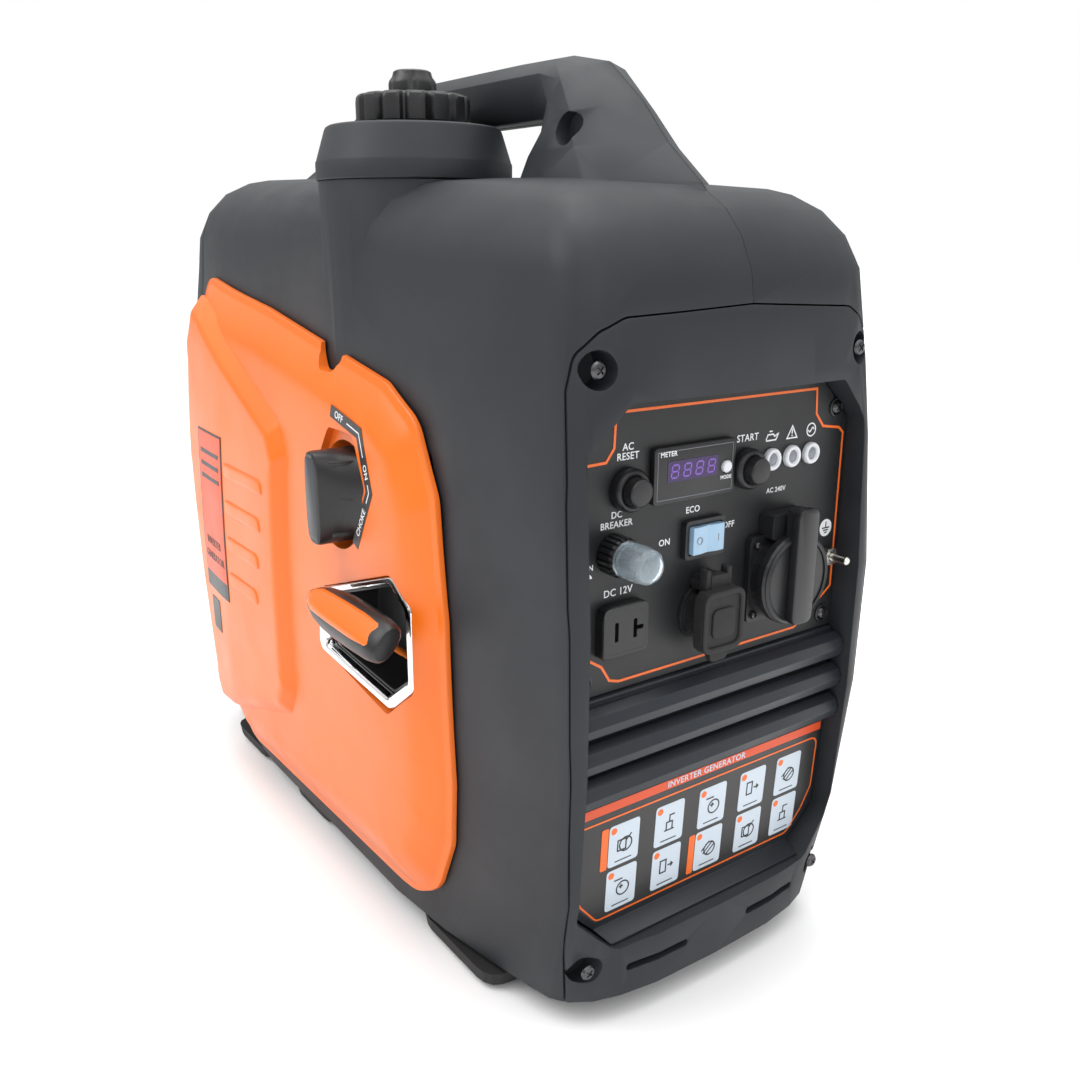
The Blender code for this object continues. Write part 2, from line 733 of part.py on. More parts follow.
def plate_on_panel(x, z, width, height, depth, radius=0.002, steps=2):
    outline = rounded_box_outline((x, z), width, height, radius, steps)
    return prism(outline, "Y", PANEL_FACE - GAP - depth, PANEL_FACE - GAP)


def push_button(root, name, x, z, black):
    """Round button sliding in its own collar."""
    collar = outward([(0.0072, 0), (0.0103, 0), (0.0103, 0.0035), (0.0090, 0.0055),
                      (0.0072, 0.0055)], x, z, 20)
    finish(collar, name + "_collar", black, root)
    button = outward([(0, 0.0040), (0.0068, 0.0040), (0.0068, 0.0095), (0.0058, 0.0108),
                      (0, 0.0112)], x, z, 18)
    finish(button, name + "_button", black, root, (x, PANEL_FACE - GAP - 0.0040, z))


def controls(root, black, grey, lamp, clear, blue):
    """Meter, lamps, buttons, rocker and breaker."""
    push_button(root, "reset", -0.0603, 0.2803, black)
    push_button(root, "start", 0.0168, 0.2805, black)

    meter = plate_on_panel(-0.0206, 0.2842, 0.0530, 0.0275, 0.0030)
    cut(meter, cylinder((-0.0005, 0, 0.2842), Y_AXIS, 0.0034, -0.300, -0.200, 14))
    finish(meter, "meter", grey, root)
    mode = outward([(0, 0.0013), (0.0030, 0.0013), (0.0030, 0.0040), (0.0024, 0.0046), (0, 0.0046)],
                   -0.0005, 0.2842, 14)
    finish(mode, "mode_button", lamp, root, (-0.0005, PANEL_FACE - GAP - 0.0013, 0.2842))

    for name, x in (("oil", 0.0345), ("overload", 0.0492), ("output", 0.0638)):
        lens = outward([(0, 0), (0.0056, 0), (0.0056, 0.0014), (0.0046, 0.0024), (0, 0.0024)],
                       x, 0.2829, 16)
        finish(lens, "lamp_" + name, lamp, root)

    frame = plate_on_panel(ROCKER_X, ROCKER_Z, 0.0265, 0.0195, 0.0030)
    hole = rounded_box_outline((ROCKER_X, ROCKER_Z), 0.0222, 0.0152, 0.001, 2)
    cut(frame, prism(hole, "Y", -0.300, -0.200))
    finish(frame, "eco_frame", black, root)
    pivot = (ROCKER_X, PANEL_FACE - 0.0022, ROCKER_Z)
    profile = [(-0.0102, 0.0018), (-0.0102, -0.0034), (-0.0060, -0.0036), (0.0, -0.0026),
               (0.0060, -0.0036), (0.0102, -0.0034), (0.0102, 0.0018)]
    rocker = prism([(pivot[0] + a, pivot[1] + b) for a, b in profile], "Z", 0.2432, 0.2568)
    finish(rocker, "eco_rocker", blue, root, pivot)

    collar = outward([(0.0064, 0), (0.0096, 0), (0.0096, 0.0085), (0.0086, 0.0098),
                      (0.0064, 0.0098)], -0.0680, 0.2510, 20)
    finish(collar, "breaker_collar", black, root)
    button = outward([(0, 0.0020), (0.0048, 0.0020), (0.0048, 0.0180), (0, 0.0186)],
                     -0.0680, 0.2510, 14)
    finish(button, "breaker_button", grey, root, (-0.0680, PANEL_FACE - GAP - 0.0020, 0.2510))
    cap = outward([(0.0052, 0.0101), (0.0088, 0.0101), (0.0088, 0.0215), (0.0078, 0.0262),
                   (0.0045, 0.0282), (0, 0.0286), (0, 0.0268), (0.0040, 0.0264),
                   (0.0066, 0.0248), (0.0074, 0.0210), (0.0074, 0.0120), (0.0052, 0.0120)],
                  -0.0680, 0.2510, 16)
    finish(cap, "breaker_cap", clear, root)


def sockets(root, black, rubber, metal):
    """T-slot outlet, round socket with cover, mains socket with lid, and the earth bolt."""
    outlet = plate_on_panel(-0.0630, 0.2143, 0.0270, 0.0245, 0.0055, 0.003, 2)
    for x, z, width, height in ((-0.0688, 0.2143, 0.0022, 0.0095), (-0.0575, 0.2143, 0.0022, 0.0095),
                                (-0.0545, 0.2143, 0.0040, 0.0022)):
        slot = prism(rounded_box_outline((x, z), width, height, 0.0004, 1), "Y",
                     -0.300, PANEL_FACE - 0.0012)
        cut(outlet, slot)
    finish(outlet, "dc_outlet", black, root)

    x, z = -0.0105, 0.2120
    socket = outward([(0, 0), (0.0150, 0), (0.0150, 0.0020), (0.0125, 0.0020), (0.0125, 0.0100),
                      (0.0100, 0.0100), (0.0100, 0.0030), (0, 0.0030)], x, z, 20)
    hinge = prism(rounded_box_outline((x, z + 0.0165), 0.0150, 0.0070, 0.0015, 2), "Y",
                  PANEL_FACE - GAP - 0.0070, PANEL_FACE - GAP)
    finish(join(socket, hinge), "dc_socket", black, root)
    outline = rounded_box_outline((x, z - 0.0010), 0.0280, 0.0320, 0.007, 3)
    cover = prism(outline, "Y", PANEL_FACE - 0.0165, PANEL_FACE - 0.0106)
    tab = prism(rounded_box_outline((x, z - 0.0185), 0.0120, 0.0080, 0.003, 2), "Y",
                PANEL_FACE - 0.0150, PANEL_FACE - 0.0115)
    strap = prism(rounded_box_outline((x, z + 0.0180), 0.0110, 0.0070, 0.001, 2), "Y",
                  PANEL_FACE - 0.0130, PANEL_FACE - 0.0076)
    finish(join(cover, tab, strap), "dc_socket_cover", rubber, root,
           (x, PANEL_FACE - 0.0080, z + 0.0217))

    x, z = 0.0430, 0.2215
    flange = plate_on_panel(x, z, 0.0460, 0.0460, 0.0035, 0.003, 2)
    barrel = outward([(0, 0), (0.0222, 0), (0.0222, 0.0095), (0.0195, 0.0095), (0.0195, 0.0015),
                      (0, 0.0015)], x, z, 28)
    well = cylinder(on_face(x, z), -Y_AXIS, 0.0195, 0.0015, 0.020, 28)
    mains = cut(join(flange, barrel), well)
    knuckle = prism(rounded_box_outline((x, 0.2495), 0.0280, 0.0130, 0.002, 2), "Y",
                    PANEL_FACE - GAP - 0.0095, PANEL_FACE - GAP)
    join(mains, knuckle)
    for dx in (-0.0095, 0.0095):
        cut(mains, cylinder(on_face(x + dx, z), -Y_AXIS, 0.0024, 0.0008, 0.010, 14))
    finish(mains, "mains_socket", black, root)
    lid = turned([(0, 0.0099), (0.0243, 0.0099), (0.0243, 0.0135), (0.0228, 0.0155), (0, 0.0158)],
                 on_face(x, z), -Y_AXIS, 28)
    strap = prism(rounded_box_outline((x, 0.22925), 0.0120, 0.0605, 0.004, 3), "Y",
                  PANEL_FACE - 0.0205, PANEL_FACE - 0.0115)
    finish(join(lid, strap), "mains_lid", black, root, (x, PANEL_FACE - 0.0112, 0.2598))

    x, z = 0.0830, 0.2240
    bolt = outward([(0, 0), (0.0022, 0), (0.0022, 0.0150), (0.0016, 0.0156), (0, 0.0156)], x, z, 16)
    finish(bolt, "earth_bolt", metal, root)
    nut = outward([(0, 0.0004), (0.0052, 0.0004), (0.0052, 0.0048), (0, 0.0048)], x, z, 6)
    cut(nut, cylinder(on_face(x, z), -Y_AXIS, 0.0025, -0.001, 0.010, 16))
    finish(nut, "earth_nut", metal, root)


# ---------------------------------------------------------------- engine


def recoil_starter(root, metal, black):
    """Dish-shaped housing and the rope pulley inside it."""
    at = (0, ROPE_Y, CRANK_Z)
    housing = turned([(0.010, -0.022), (0.052, -0.022), (0.058, -0.016), (0.058, 0.0130),
                      (0.055, 0.0130), (0.055, -0.015), (0.051, -0.019), (0.010, -0.019)],
                     at, Y_AXIS, 22)
    cut(housing, cylinder(GRIP_AT, PULL, 0.005, -0.170, -0.060, 12))
    finish(housing, "recoil_housing", metal, root)
    rim = PULLEY_RADIUS + 0.004
    groove = PULLEY_RADIUS - ROPE_RADIUS - 0.0005
    pulley = turned([(0.006, -0.0140), (0.030, -0.0140), (0.030, -0.0060), (rim, -0.0060),
                     (rim, -0.0035), (groove, -0.0026), (groove, 0.0026), (rim, 0.0035),
                     (rim, 0.0060), (0.006, 0.0060)], at, Y_AXIS, 22)
    finish(pulley, "recoil_pulley", black, root, (0, ROPE_Y, CRANK_Z))


def flywheel(root, metal):
    """Flywheel with fan blades, magnet rim and crankshaft, turning about Y."""
    at = (0, 0, CRANK_Z)
    wheel = turned([(0, -0.096), (0.012, -0.096), (0.012, -0.078), (0.055, -0.078),
                    (0.055, -0.042), (0.050, -0.042), (0.050, -0.072), (0.009, -0.072),
                    (0.009, -0.0325), (0, -0.0325)], at, Y_AXIS, 20)
    for k in range(8):
        blade = box(0.022, 0.054, -0.090, -0.077, -0.0015, 0.0015)
        blade.data.transform(Matrix.Translation((0, 0, CRANK_Z))
                             @ Matrix.Rotation(math.radians(45 * k), 4, "Y"))
        join(wheel, blade)
    finish(wheel, "flywheel", metal, root, (0, -0.078, CRANK_Z))


def engine(root, metal, black, steel):
    """Crankcase, finned cylinder, head cover and what is bolted to them."""
    stator = ring((0, 0, CRANK_Z), Y_AXIS, 0.014, 0.0475, -0.066, -0.0305, 20)
    finish(stator, "stator", steel, root)

    case = box(-0.062, 0.062, -0.030, 0.078, 0.060, 0.206, 0.010)
    foot = box(-0.075, 0.075, -0.015, 0.063, 0.0206, 0.070, 0.004)
    finish(join(case, foot), "crankcase", metal, root)

    barrel = cylinder((0, 0.024, 0), Z_AXIS, 0.030, 0.2063, 0.286, 18)
    for k in range(5):
        z = 0.220 + 0.0135 * k
        join(barrel, box(-0.044, 0.044, -0.018, 0.066, z, z + 0.0035))
    finish(barrel, "cylinder", metal, root)
    head = box(-0.040, 0.040, -0.014, 0.062, 0.2863, 0.318, 0.006)
    finish(head, "head_cover", metal, root)
    plug = turned([(0, 0.0), (0.005, 0.0), (0.005, 0.010), (0.009, 0.012), (0.009, 0.030),
                   (0.005, 0.034), (0, 0.034)], (0, -0.0145, 0.300), -Y_AXIS, 16)
    finish(plug, "spark_plug", black, root)
    cap = turned([(0, 0.0), (0.010, 0.0), (0.010, 0.006), (0.014, 0.006), (0.014, 0.014), (0, 0.014)],
                 (-0.0624, 0.045, 0.120), -X_AXIS, 18)
    finish(cap, "oil_filler_cap", black, root)

    carb = join(box(-0.083, -0.0445, 0.006, 0.042, 0.230, 0.266, 0.004),
                cylinder((-0.066, 0.024, 0), Z_AXIS, 0.015, 0.212, 0.240, 20))
    finish(carb, "carburettor", metal, root)
    filter_box = box(-0.098, -0.052, 0.0685, 0.140, 0.205, 0.300, 0.008)
    finish(filter_box, "air_filter_box", black, root)

    muffler = box(-0.040, 0.095, 0.1405, 0.196, 0.205, 0.305, 0.016)
    pipe = ring((0.045, 0, 0.262), Y_AXIS, 0.0135, 0.0165, 0.180, 0.2450, 16)
    bore = cylinder((0.045, 0, 0.262), Y_AXIS, 0.0135, 0.188, 0.260, 16)
    header = box(0.0445, 0.060, 0.006, 0.1500, 0.238, 0.262, 0.004)
    finish(cut(join(muffler, pipe, header), bore), "muffler", steel, root)


def electrics(root, metal, black):
    """Finned inverter behind the control panel, and the starting battery."""
    module = box(-0.078, 0.078, -0.213, -0.165, 0.050, 0.176, 0.003)
    for k in range(7):
        x = -0.069 + 0.023 * k
        join(module, box(x - 0.0015, x + 0.0015, -0.170, -0.150, 0.056, 0.170))
    finish(module, "inverter_module", metal, root)
    battery = box(0.018, 0.092, -0.205, -0.140, 0.190, 0.300, 0.004)
    finish(battery, "starting_battery", black, root)


# ---------------------------------------------------------------- the whole generator


def build():
    clear_scene()
    root = bpy.data.objects.new("generator_root", None)
    bpy.context.collection.objects.link(root)
    root.location = (ROOT_SHIFT_X, ROOT_SHIFT_Y, 0)

    dark = paint("dark_plastic", (0.060, 0.066, 0.072), 0.55)
    black = paint("black_plastic", (0.016, 0.017, 0.019), 0.40)
    orange = paint("orange_plastic", (0.85, 0.17, 0.01), 0.32)
    rubber = paint("rubber", (0.020, 0.020, 0.021), 0.80)
    chrome = paint("bright_plating", (0.86, 0.86, 0.87), 0.08, 1.0)
    metal = paint("cast_aluminium", (0.55, 0.56, 0.57), 0.45, 1.0)
    steel = paint("steel", (0.45, 0.45, 0.46), 0.40, 1.0)
    lamp = paint("lamp_white", (0.75, 0.76, 0.78), 0.30)
    grey = paint("meter_grey", (0.045, 0.045, 0.050), 0.30)
    clear = paint("clear_plastic", (0.80, 0.88, 0.92), 0.10)
    blue = paint("pale_blue_plastic", (0.45, 0.68, 0.85), 0.20)

    half_covers(root, dark)
    front_bezel(root, dark)
    rear_cover(root, dark)
    base_tray(root, dark)
    feet(root, rubber)
    side_panel(root, orange, -1, "left_panel")
    side_panel(root, orange, 1, "right_panel")
    starter(root, chrome, black, orange)
    engine_switch(root, black)
    filler(root, dark, black)
    fuel_tank(root, black)
    control_panel(root, black)
    louvre_panel(root, dark)
    controls(root, black, grey, lamp, clear, blue)
    sockets(root, black, rubber, steel)
    recoil_starter(root, metal, black)
    flywheel(root, metal)
    engine(root, metal, black, steel)
    electrics(root, metal, black)


build()
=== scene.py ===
"""Looks of the portable generator: moulded covers, orange panels, control panel and filler."""

import json
import math

import bpy
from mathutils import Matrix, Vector


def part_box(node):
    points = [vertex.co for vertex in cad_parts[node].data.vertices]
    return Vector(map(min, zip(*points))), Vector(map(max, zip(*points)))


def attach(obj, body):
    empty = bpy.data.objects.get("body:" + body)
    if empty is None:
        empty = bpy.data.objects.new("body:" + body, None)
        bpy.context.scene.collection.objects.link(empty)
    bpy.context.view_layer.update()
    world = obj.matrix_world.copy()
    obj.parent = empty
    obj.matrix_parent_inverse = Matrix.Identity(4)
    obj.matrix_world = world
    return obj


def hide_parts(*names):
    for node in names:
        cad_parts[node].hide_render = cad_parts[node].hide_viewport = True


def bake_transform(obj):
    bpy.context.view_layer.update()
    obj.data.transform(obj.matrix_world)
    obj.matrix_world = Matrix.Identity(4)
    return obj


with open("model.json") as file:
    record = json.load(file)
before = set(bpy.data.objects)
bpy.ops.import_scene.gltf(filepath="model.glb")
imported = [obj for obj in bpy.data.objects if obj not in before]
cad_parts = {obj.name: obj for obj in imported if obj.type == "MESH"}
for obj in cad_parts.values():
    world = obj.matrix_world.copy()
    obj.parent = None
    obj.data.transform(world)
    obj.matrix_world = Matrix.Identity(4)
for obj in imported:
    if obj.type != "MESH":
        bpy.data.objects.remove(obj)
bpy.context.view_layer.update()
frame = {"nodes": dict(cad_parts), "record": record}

# ---------------------------------------------------------------- places

tray_low, tray_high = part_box("base_tray")
MIDDLE = (tray_low + tray_high) / 2
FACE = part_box("control_panel")[0].y - MIDDLE.y

UP = Vector((0, 0, 1))
FRONT = Vector((0, -1, 0))
LEFT = Vector((-1, 0, 0))


def at(x, y, z):
    """A point given from the seam between the covers (x), the body's middle (y) and the ground."""
    return Vector((MIDDLE.x + x, MIDDLE.y + y, z))


def middle_of(node):
    low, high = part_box(node)
    middle = (low + high) / 2
    return middle.x - MIDDLE.x, middle.y - MIDDLE.y, middle.z


# ---------------------------------------------------------------- tools


def only(thing):
    bpy.ops.object.select_all(action="DESELECT")
    thing.select_set(True)
    bpy.context.view_layer.objects.active = thing


def edit(thing):
    only(thing)
    bpy.ops.object.mode_set(mode="EDIT")
    bpy.ops.mesh.select_all(action="SELECT")


def done():
    bpy.ops.object.mode_set(mode="OBJECT")


def start_mesh(name, points, edges=(), faces=()):
    mesh = bpy.data.meshes.new(name)
    mesh.from_pydata([tuple(point) for point in points], list(edges), list(faces))
    thing = bpy.data.objects.new(name, mesh)
    bpy.context.scene.collection.objects.link(thing)
    return thing


def smooth(thing, angle=30):
    only(thing)
    bpy.ops.object.shade_smooth_by_angle(angle=math.radians(angle))


def tidy_normals(thing):
    edit(thing)
    bpy.ops.mesh.remove_doubles(threshold=0.000002)
    bpy.ops.mesh.normals_make_consistent(inside=False)
    done()


def soften(thing, width, segments=2, angle=38):
    """Rounds the sharp edges with a bevel that is applied at once."""
    bevel = thing.modifiers.new("soft edges", "BEVEL")
    bevel.width = width
    bevel.segments = segments
    bevel.limit_method = "ANGLE"
    bevel.angle_limit = math.radians(angle)
    only(thing)
    bpy.ops.object.modifier_apply(modifier=bevel.name)


def carve(thing, tool, operation="DIFFERENCE"):
    cut = thing.modifiers.new("carve", "BOOLEAN")
    cut.operation = operation
    cut.object = tool
    only(thing)
    bpy.ops.object.modifier_apply(modifier=cut.name)
    bpy.data.objects.remove(tool, do_unlink=True)


def fit(thing, material, body, slot, *stands_for):
    """Colours a finished piece and makes it ride on its body."""
    thing.data.materials.clear()
    thing.data.materials.append(material)
    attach(thing, body)
    if stands_for:
        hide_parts(*stands_for)
    return thing


def spun(name, centre, axis, profile, steps=64, angle=30):
    """Spins (radius, distance along the axis) points round the axis."""
    turn = UP.rotation_difference(axis).to_matrix()
    points = [centre + turn @ Vector((radius, 0, distance)) for radius, distance in profile]
    edges = [(i, i + 1) for i in range(len(points) - 1)]
    if profile[0][0] > 0 and profile[-1][0] > 0:
        edges.append((len(points) - 1, 0))
    thing = start_mesh(name, points, edges)
    edit(thing)
    bpy.ops.mesh.spin(steps=steps, angle=2 * math.pi, center=centre, axis=axis)
    done()
    tidy_normals(thing)
    smooth(thing, angle)
    return thing


def rounded(outline, radius, steps=5):
    """The outline with its corners rounded."""
    points = []
    for i, corner in enumerate(outline):
        corner = Vector(corner)
        before = Vector(outline[i - 1]) - corner
        after = Vector(outline[(i + 1) % len(outline)]) - corner
        reach = min(radius / math.tan(before.angle(after) / 2), before.length / 2.1, after.length / 2.1)
        start = corner + before.normalized() * reach
        end = corner + after.normalized() * reach
        for k in range(steps + 1):
            t = k / steps
            point = start * (1 - t) ** 2 + corner * 2 * t * (1 - t) + end * t ** 2
            points.append((point.x, point.y))
    return points


def oblong(x, z, width, height, radius=0.002, steps=4):
    across = width / 2
    up = height / 2
    corners = [(x - across, z - up), (x + across, z - up), (x + across, z + up), (x - across, z + up)]
    return rounded(corners, radius, steps)


def circle(x, z, radius, steps=32, start=0.0, sweep=360.0):
    points = []
    for i in range(steps):
        angle = math.radians(start + sweep * i / (steps if sweep == 360.0 else steps - 1))
        points.append((x + radius * math.cos(angle), z + radius * math.sin(angle)))
    return points


def slab(name, outline, place, low, high, bevel=0.0, angle=30):
    """An outline given thickness: place turns (across, up, out) into a point."""
    count = len(outline)
    points = [place(a, b, low) for a, b in outline] + [place(a, b, high) for a, b in outline]
    sides = [(i, (i + 1) % count, count + (i + 1) % count, count + i) for i in range(count)]
    thing = start_mesh(name, points, (), sides + [tuple(range(count)), tuple(range(count, 2 * count))])
    tidy_normals(thing)
    if bevel:
        soften(thing, bevel)
    smooth(thing, angle)
    return thing


def on_panel(a, b, out):
    return at(a, FACE - out, b)


def label_y(z):
    return FACE - 0.002 + 0.004 * (0.1235 - z) / 0.0735


def on_label(a, b, out):
    return at(a, label_y(b) - out, b)


def joined(name, things):
    """One piece made of several shapes."""
    bpy.ops.object.select_all(action="DESELECT")
    for thing in things:
        thing.select_set(True)
    bpy.context.view_layer.objects.active = things[0]
    bpy.ops.object.join()
    things[0].name = name
    things[0].data.name = name
    return things[0]


def ribbon(name, path, width, place, out, closed=False):
    """A thin printed line along a path, mitred at its corners."""
    count = len(path)
    points = []
    for i in range(count):
        here = Vector(path[i])
        before = Vector(path[i - 1]) if i or closed else here
        after = Vector(path[(i + 1) % count]) if i < count - 1 or closed else here
        along = ((here - before).normalized() + (after - here).normalized()).normalized()
        side = Vector((-along.y, along.x))
        step = (after - here) if (after - here).length else (here - before)
        bend = max(0.5, abs(side.dot(Vector((-step.y, step.x)).normalized())))
        offset = side * (width / 2 / bend)
        points += [here - offset, here + offset]
    low = [place(p.x, p.y, out) for p in points]
    high = [place(p.x, p.y, out + 0.00012) for p in points]
    total = len(points)
    faces = []
    last = count if closed else count - 1
    for i in range(last):
        a, b = 2 * i, 2 * i + 1
        c, d = (2 * i + 3) % total, (2 * i + 2) % total
        faces += [(a, b, c, d), (total + a, total + b, total + c, total + d),
                  (a, d, total + d, total + a), (b, c, total + c, total + b)]
    if not closed:
        faces += [(0, 1, total + 1, total), (total - 2, total - 1, 2 * total - 1, 2 * total - 2)]
    thing = start_mesh(name, low + high, (), faces)
    tidy_normals(thing)
    return thing


def words(name, text, a, b, size, place, out, turn=0.0, align="CENTER", squeeze=1.0):
    """Printed lettering laid on a surface."""
    bpy.ops.object.select_all(action="DESELECT")
    bpy.ops.object.text_add(location=(0, 0, 0))
    thing = bpy.context.object
    thing.data.body = text
    thing.data.size = size * 1.4
    thing.data.align_x = align
    thing.data.align_y = "CENTER"
    thing.data.extrude = 0.00005
    thing.data.offset = 0.00006
    thing.data.resolution_u = 3
    thing.data.space_character = 1.05
    bpy.ops.object.convert(target="MESH")
    thing = bpy.context.object
    thing.name = name
    thing.data.name = name
    cosine, sine = math.cos(math.radians(turn)), math.sin(math.radians(turn))
    for vertex in thing.data.vertices:
        x, y, z = vertex.co
        x *= squeeze
        vertex.co = place(a + x * cosine - y * sine, b + x * sine + y * cosine, out + z + 0.00005)
    tidy_normals(thing)
    return thing


# ---------------------------------------------------------------- materials


class Finish:
    """A procedural material: base colour, wear on its edges, uneven sheen and a fine grain."""

    def __init__(self, name, colour, roughness, metallic=0.0, edge=0.0006):
        self.material = bpy.data.materials.new(name)
        self.material.use_nodes = True
        self.tree = self.material.node_tree
        self.shader = self.tree.nodes["Principled BSDF"]
        self.shader.inputs["Metallic"].default_value = metallic
        self.coordinates = self.node("ShaderNodeTexCoord").outputs["Object"]
        self.colour = colour
        self.roughness = roughness
        self.edge = self.node("ShaderNodeBevel")
        self.edge.samples = 4
        self.edge.inputs["Radius"].default_value = edge
        self.normal = self.edge.outputs["Normal"]

    def node(self, kind):
        return self.tree.nodes.new(kind)

    def link(self, output, target):
        self.tree.links.new(output, target)

    def noise(self, scale, detail=3.0, roughness=0.5, coordinates=None):
        noise = self.node("ShaderNodeTexNoise")
        noise.inputs["Scale"].default_value = scale
        noise.inputs["Detail"].default_value = detail
        noise.inputs["Roughness"].default_value = roughness
        self.link(coordinates or self.coordinates, noise.inputs["Vector"])
        return noise.outputs["Fac"]

    def ranged(self, value, low, high, from_low=0.3, from_high=0.7):
        ranged = self.node("ShaderNodeMapRange")
        ranged.inputs["From Min"].default_value = from_low
        ranged.inputs["From Max"].default_value = from_high
        ranged.inputs["To Min"].default_value = low
        ranged.inputs["To Max"].default_value = high
        self.link(value, ranged.inputs["Value"])
        return ranged.outputs["Result"]

    def tint(self, factor, first, second):
        mix = self.node("ShaderNodeMix")
        mix.data_type = "RGBA"
        for socket, value in ((6, first), (7, second)):
            if isinstance(value, tuple):
                mix.inputs[socket].default_value = (*value, 1.0)
            else:
                self.link(value, mix.inputs[socket])
        self.link(factor, mix.inputs[0])
        return mix.outputs[2]

    def worn(self):
        """1 along outer edges, 0 on flat faces."""
        facing = self.node("ShaderNodeVectorMath")
        facing.operation = "DOT_PRODUCT"
        geometry = self.node("ShaderNodeNewGeometry")
        self.link(self.normal, facing.inputs[0])
        self.link(geometry.outputs["Normal"], facing.inputs[1])
        return self.ranged(facing.outputs["Value"], 1.0, 0.0, 0.80, 0.995)

    def surface(self, variation=0.12, wear=0.25, wear_colour=None, sheen_spread=0.06):
        base = self.colour
        dark = tuple(c * (1 - variation) for c in base)
        light = tuple(min(1.0, c * (1 + variation)) for c in base)
        mottled = self.tint(self.ranged(self.noise(14.0, 4.0), 0.0, 1.0), dark, light)
        worn_colour = wear_colour or tuple(min(1.0, c * 1.6 + 0.02) for c in base)
        scuffs = self.node("ShaderNodeMath")
        scuffs.operation = "MULTIPLY"
        self.link(self.worn(), scuffs.inputs[0])
        self.link(self.ranged(self.noise(90.0, 3.0), 0.0, wear, 0.4, 0.65), scuffs.inputs[1])
        self.link(self.tint(scuffs.outputs[0], mottled, worn_colour), self.shader.inputs["Base Color"])
        low = max(0.02, self.roughness - sheen_spread)
        sheen = self.ranged(self.noise(22.0, 5.0, 0.6), low, self.roughness + sheen_spread)
        self.link(sheen, self.shader.inputs["Roughness"])
        return self

    def grain(self, scale, depth, strength=0.5):
        bump = self.node("ShaderNodeBump")
        bump.inputs["Strength"].default_value = strength
        bump.inputs["Distance"].default_value = depth
        self.link(self.noise(scale, 2.0), bump.inputs["Height"])
        self.link(self.normal, bump.inputs["Normal"])
        self.normal = bump.outputs["Normal"]
        self.link(self.normal, self.shader.inputs["Normal"])
        return self

    def set(self, **values):
        for name, value in values.items():
            self.shader.inputs[name.replace("_", " ")].default_value = value
        return self


def made(name, colour, roughness, metallic=0.0, edge=0.0006, grain=(1500.0, 0.00012, 0.35), **look):
    finish = Finish(name, colour, roughness, metallic, edge)
    finish.surface(**look)
    finish.grain(*grain)
    return finish


dark_plastic = made("dark_plastic", (0.0175, 0.0205, 0.0245), 0.52, wear=0.10,
                    grain=(1400.0, 0.00012, 0.30)).set(Specular_IOR_Level=0.36).material
black_plastic = made("black_plastic", (0.012, 0.0125, 0.014), 0.36, wear=0.20, edge=0.0004).material
panel_black = made("panel_black", (0.010, 0.0108, 0.0122), 0.46, wear=0.10, edge=0.0004,
                   grain=(2600.0, 0.00006, 0.25)).material
louvre_plastic = made("louvre_plastic", (0.022, 0.026, 0.032), 0.34, wear=0.10,
                      grain=(1800.0, 0.00006, 0.20)).set(Specular_IOR_Level=0.40).material
orange_plastic = made("orange_plastic", (0.80, 0.150, 0.007), 0.34, wear=0.12, variation=0.03,
                      wear_colour=(0.95, 0.42, 0.12), grain=(1700.0, 0.00006, 0.18)).material
rubber = made("rubber", (0.014, 0.014, 0.0145), 0.72, wear=0.25, grain=(900.0, 0.0002, 0.5)).material
chrome = made("bright_plating", (0.80, 0.80, 0.81), 0.07, 1.0, wear=0.0, variation=0.02,
              sheen_spread=0.03, grain=(400.0, 0.00002, 0.10)).material
aluminium = made("cast_aluminium", (0.52, 0.53, 0.54), 0.48, 1.0, wear=0.3,
                 grain=(700.0, 0.0003, 0.6)).material
steel = made("steel", (0.60, 0.59, 0.55), 0.24, 1.0, wear=0.2, edge=0.0003,
             grain=(1800.0, 0.00005, 0.3)).material
rope_orange = made("rope_orange", (0.72, 0.16, 0.012), 0.62, wear=0.0, variation=0.10,
                   grain=(1500.0, 0.00020, 0.6)).material
steel_dark = made("blackened_steel", (0.10, 0.10, 0.105), 0.32, 1.0, wear=0.4, edge=0.0003,
                  grain=(1800.0, 0.00005, 0.3)).material
lens_grey = made("lens_grey", (0.22, 0.24, 0.27), 0.30, wear=0.05, edge=0.0002).material
label_line = made("label_line", (0.16, 0.17, 0.19), 0.40, wear=0.0, edge=0.00005).material
white_ink = made("white_ink", (0.78, 0.80, 0.82), 0.45, wear=0.0, variation=0.04, edge=0.00005).material
orange_ink = made("orange_ink", (0.90, 0.16, 0.02), 0.40, wear=0.0, variation=0.04, edge=0.00005).material
red_ink = made("red_ink", (0.74, 0.085, 0.02), 0.42, wear=0.0, variation=0.04, edge=0.00005).material
black_ink = made("black_ink", (0.016, 0.016, 0.018), 0.40, wear=0.0, variation=0.10, edge=0.00005).material
label_grey = made("label_grey", (0.030, 0.028, 0.028), 0.38, wear=0.0, variation=0.06, edge=0.00005).material
tile_blue = made("tile_blue", (0.60, 0.68, 0.76), 0.40, wear=0.0, variation=0.03, edge=0.00005).material
lens_white = made("lens_white", (0.70, 0.72, 0.75), 0.28, wear=0.05, edge=0.0003).material
smoked = made("smoked_plastic", (0.020, 0.020, 0.023), 0.22, wear=0.10, edge=0.0003,
              grain=(2600.0, 0.00003, 0.15)).material
display_glass = made("display_glass", (0.030, 0.010, 0.075), 0.16, wear=0.0, edge=0.0001,
                     grain=(2600.0, 0.00001, 0.05)).material
digit_glow = made("digit_glow", (0.16, 0.08, 0.34), 0.35, wear=0.0, edge=0.00005)
digit_glow = digit_glow.set(Emission_Color=(0.22, 0.08, 0.55, 1.0), Emission_Strength=0.22).material
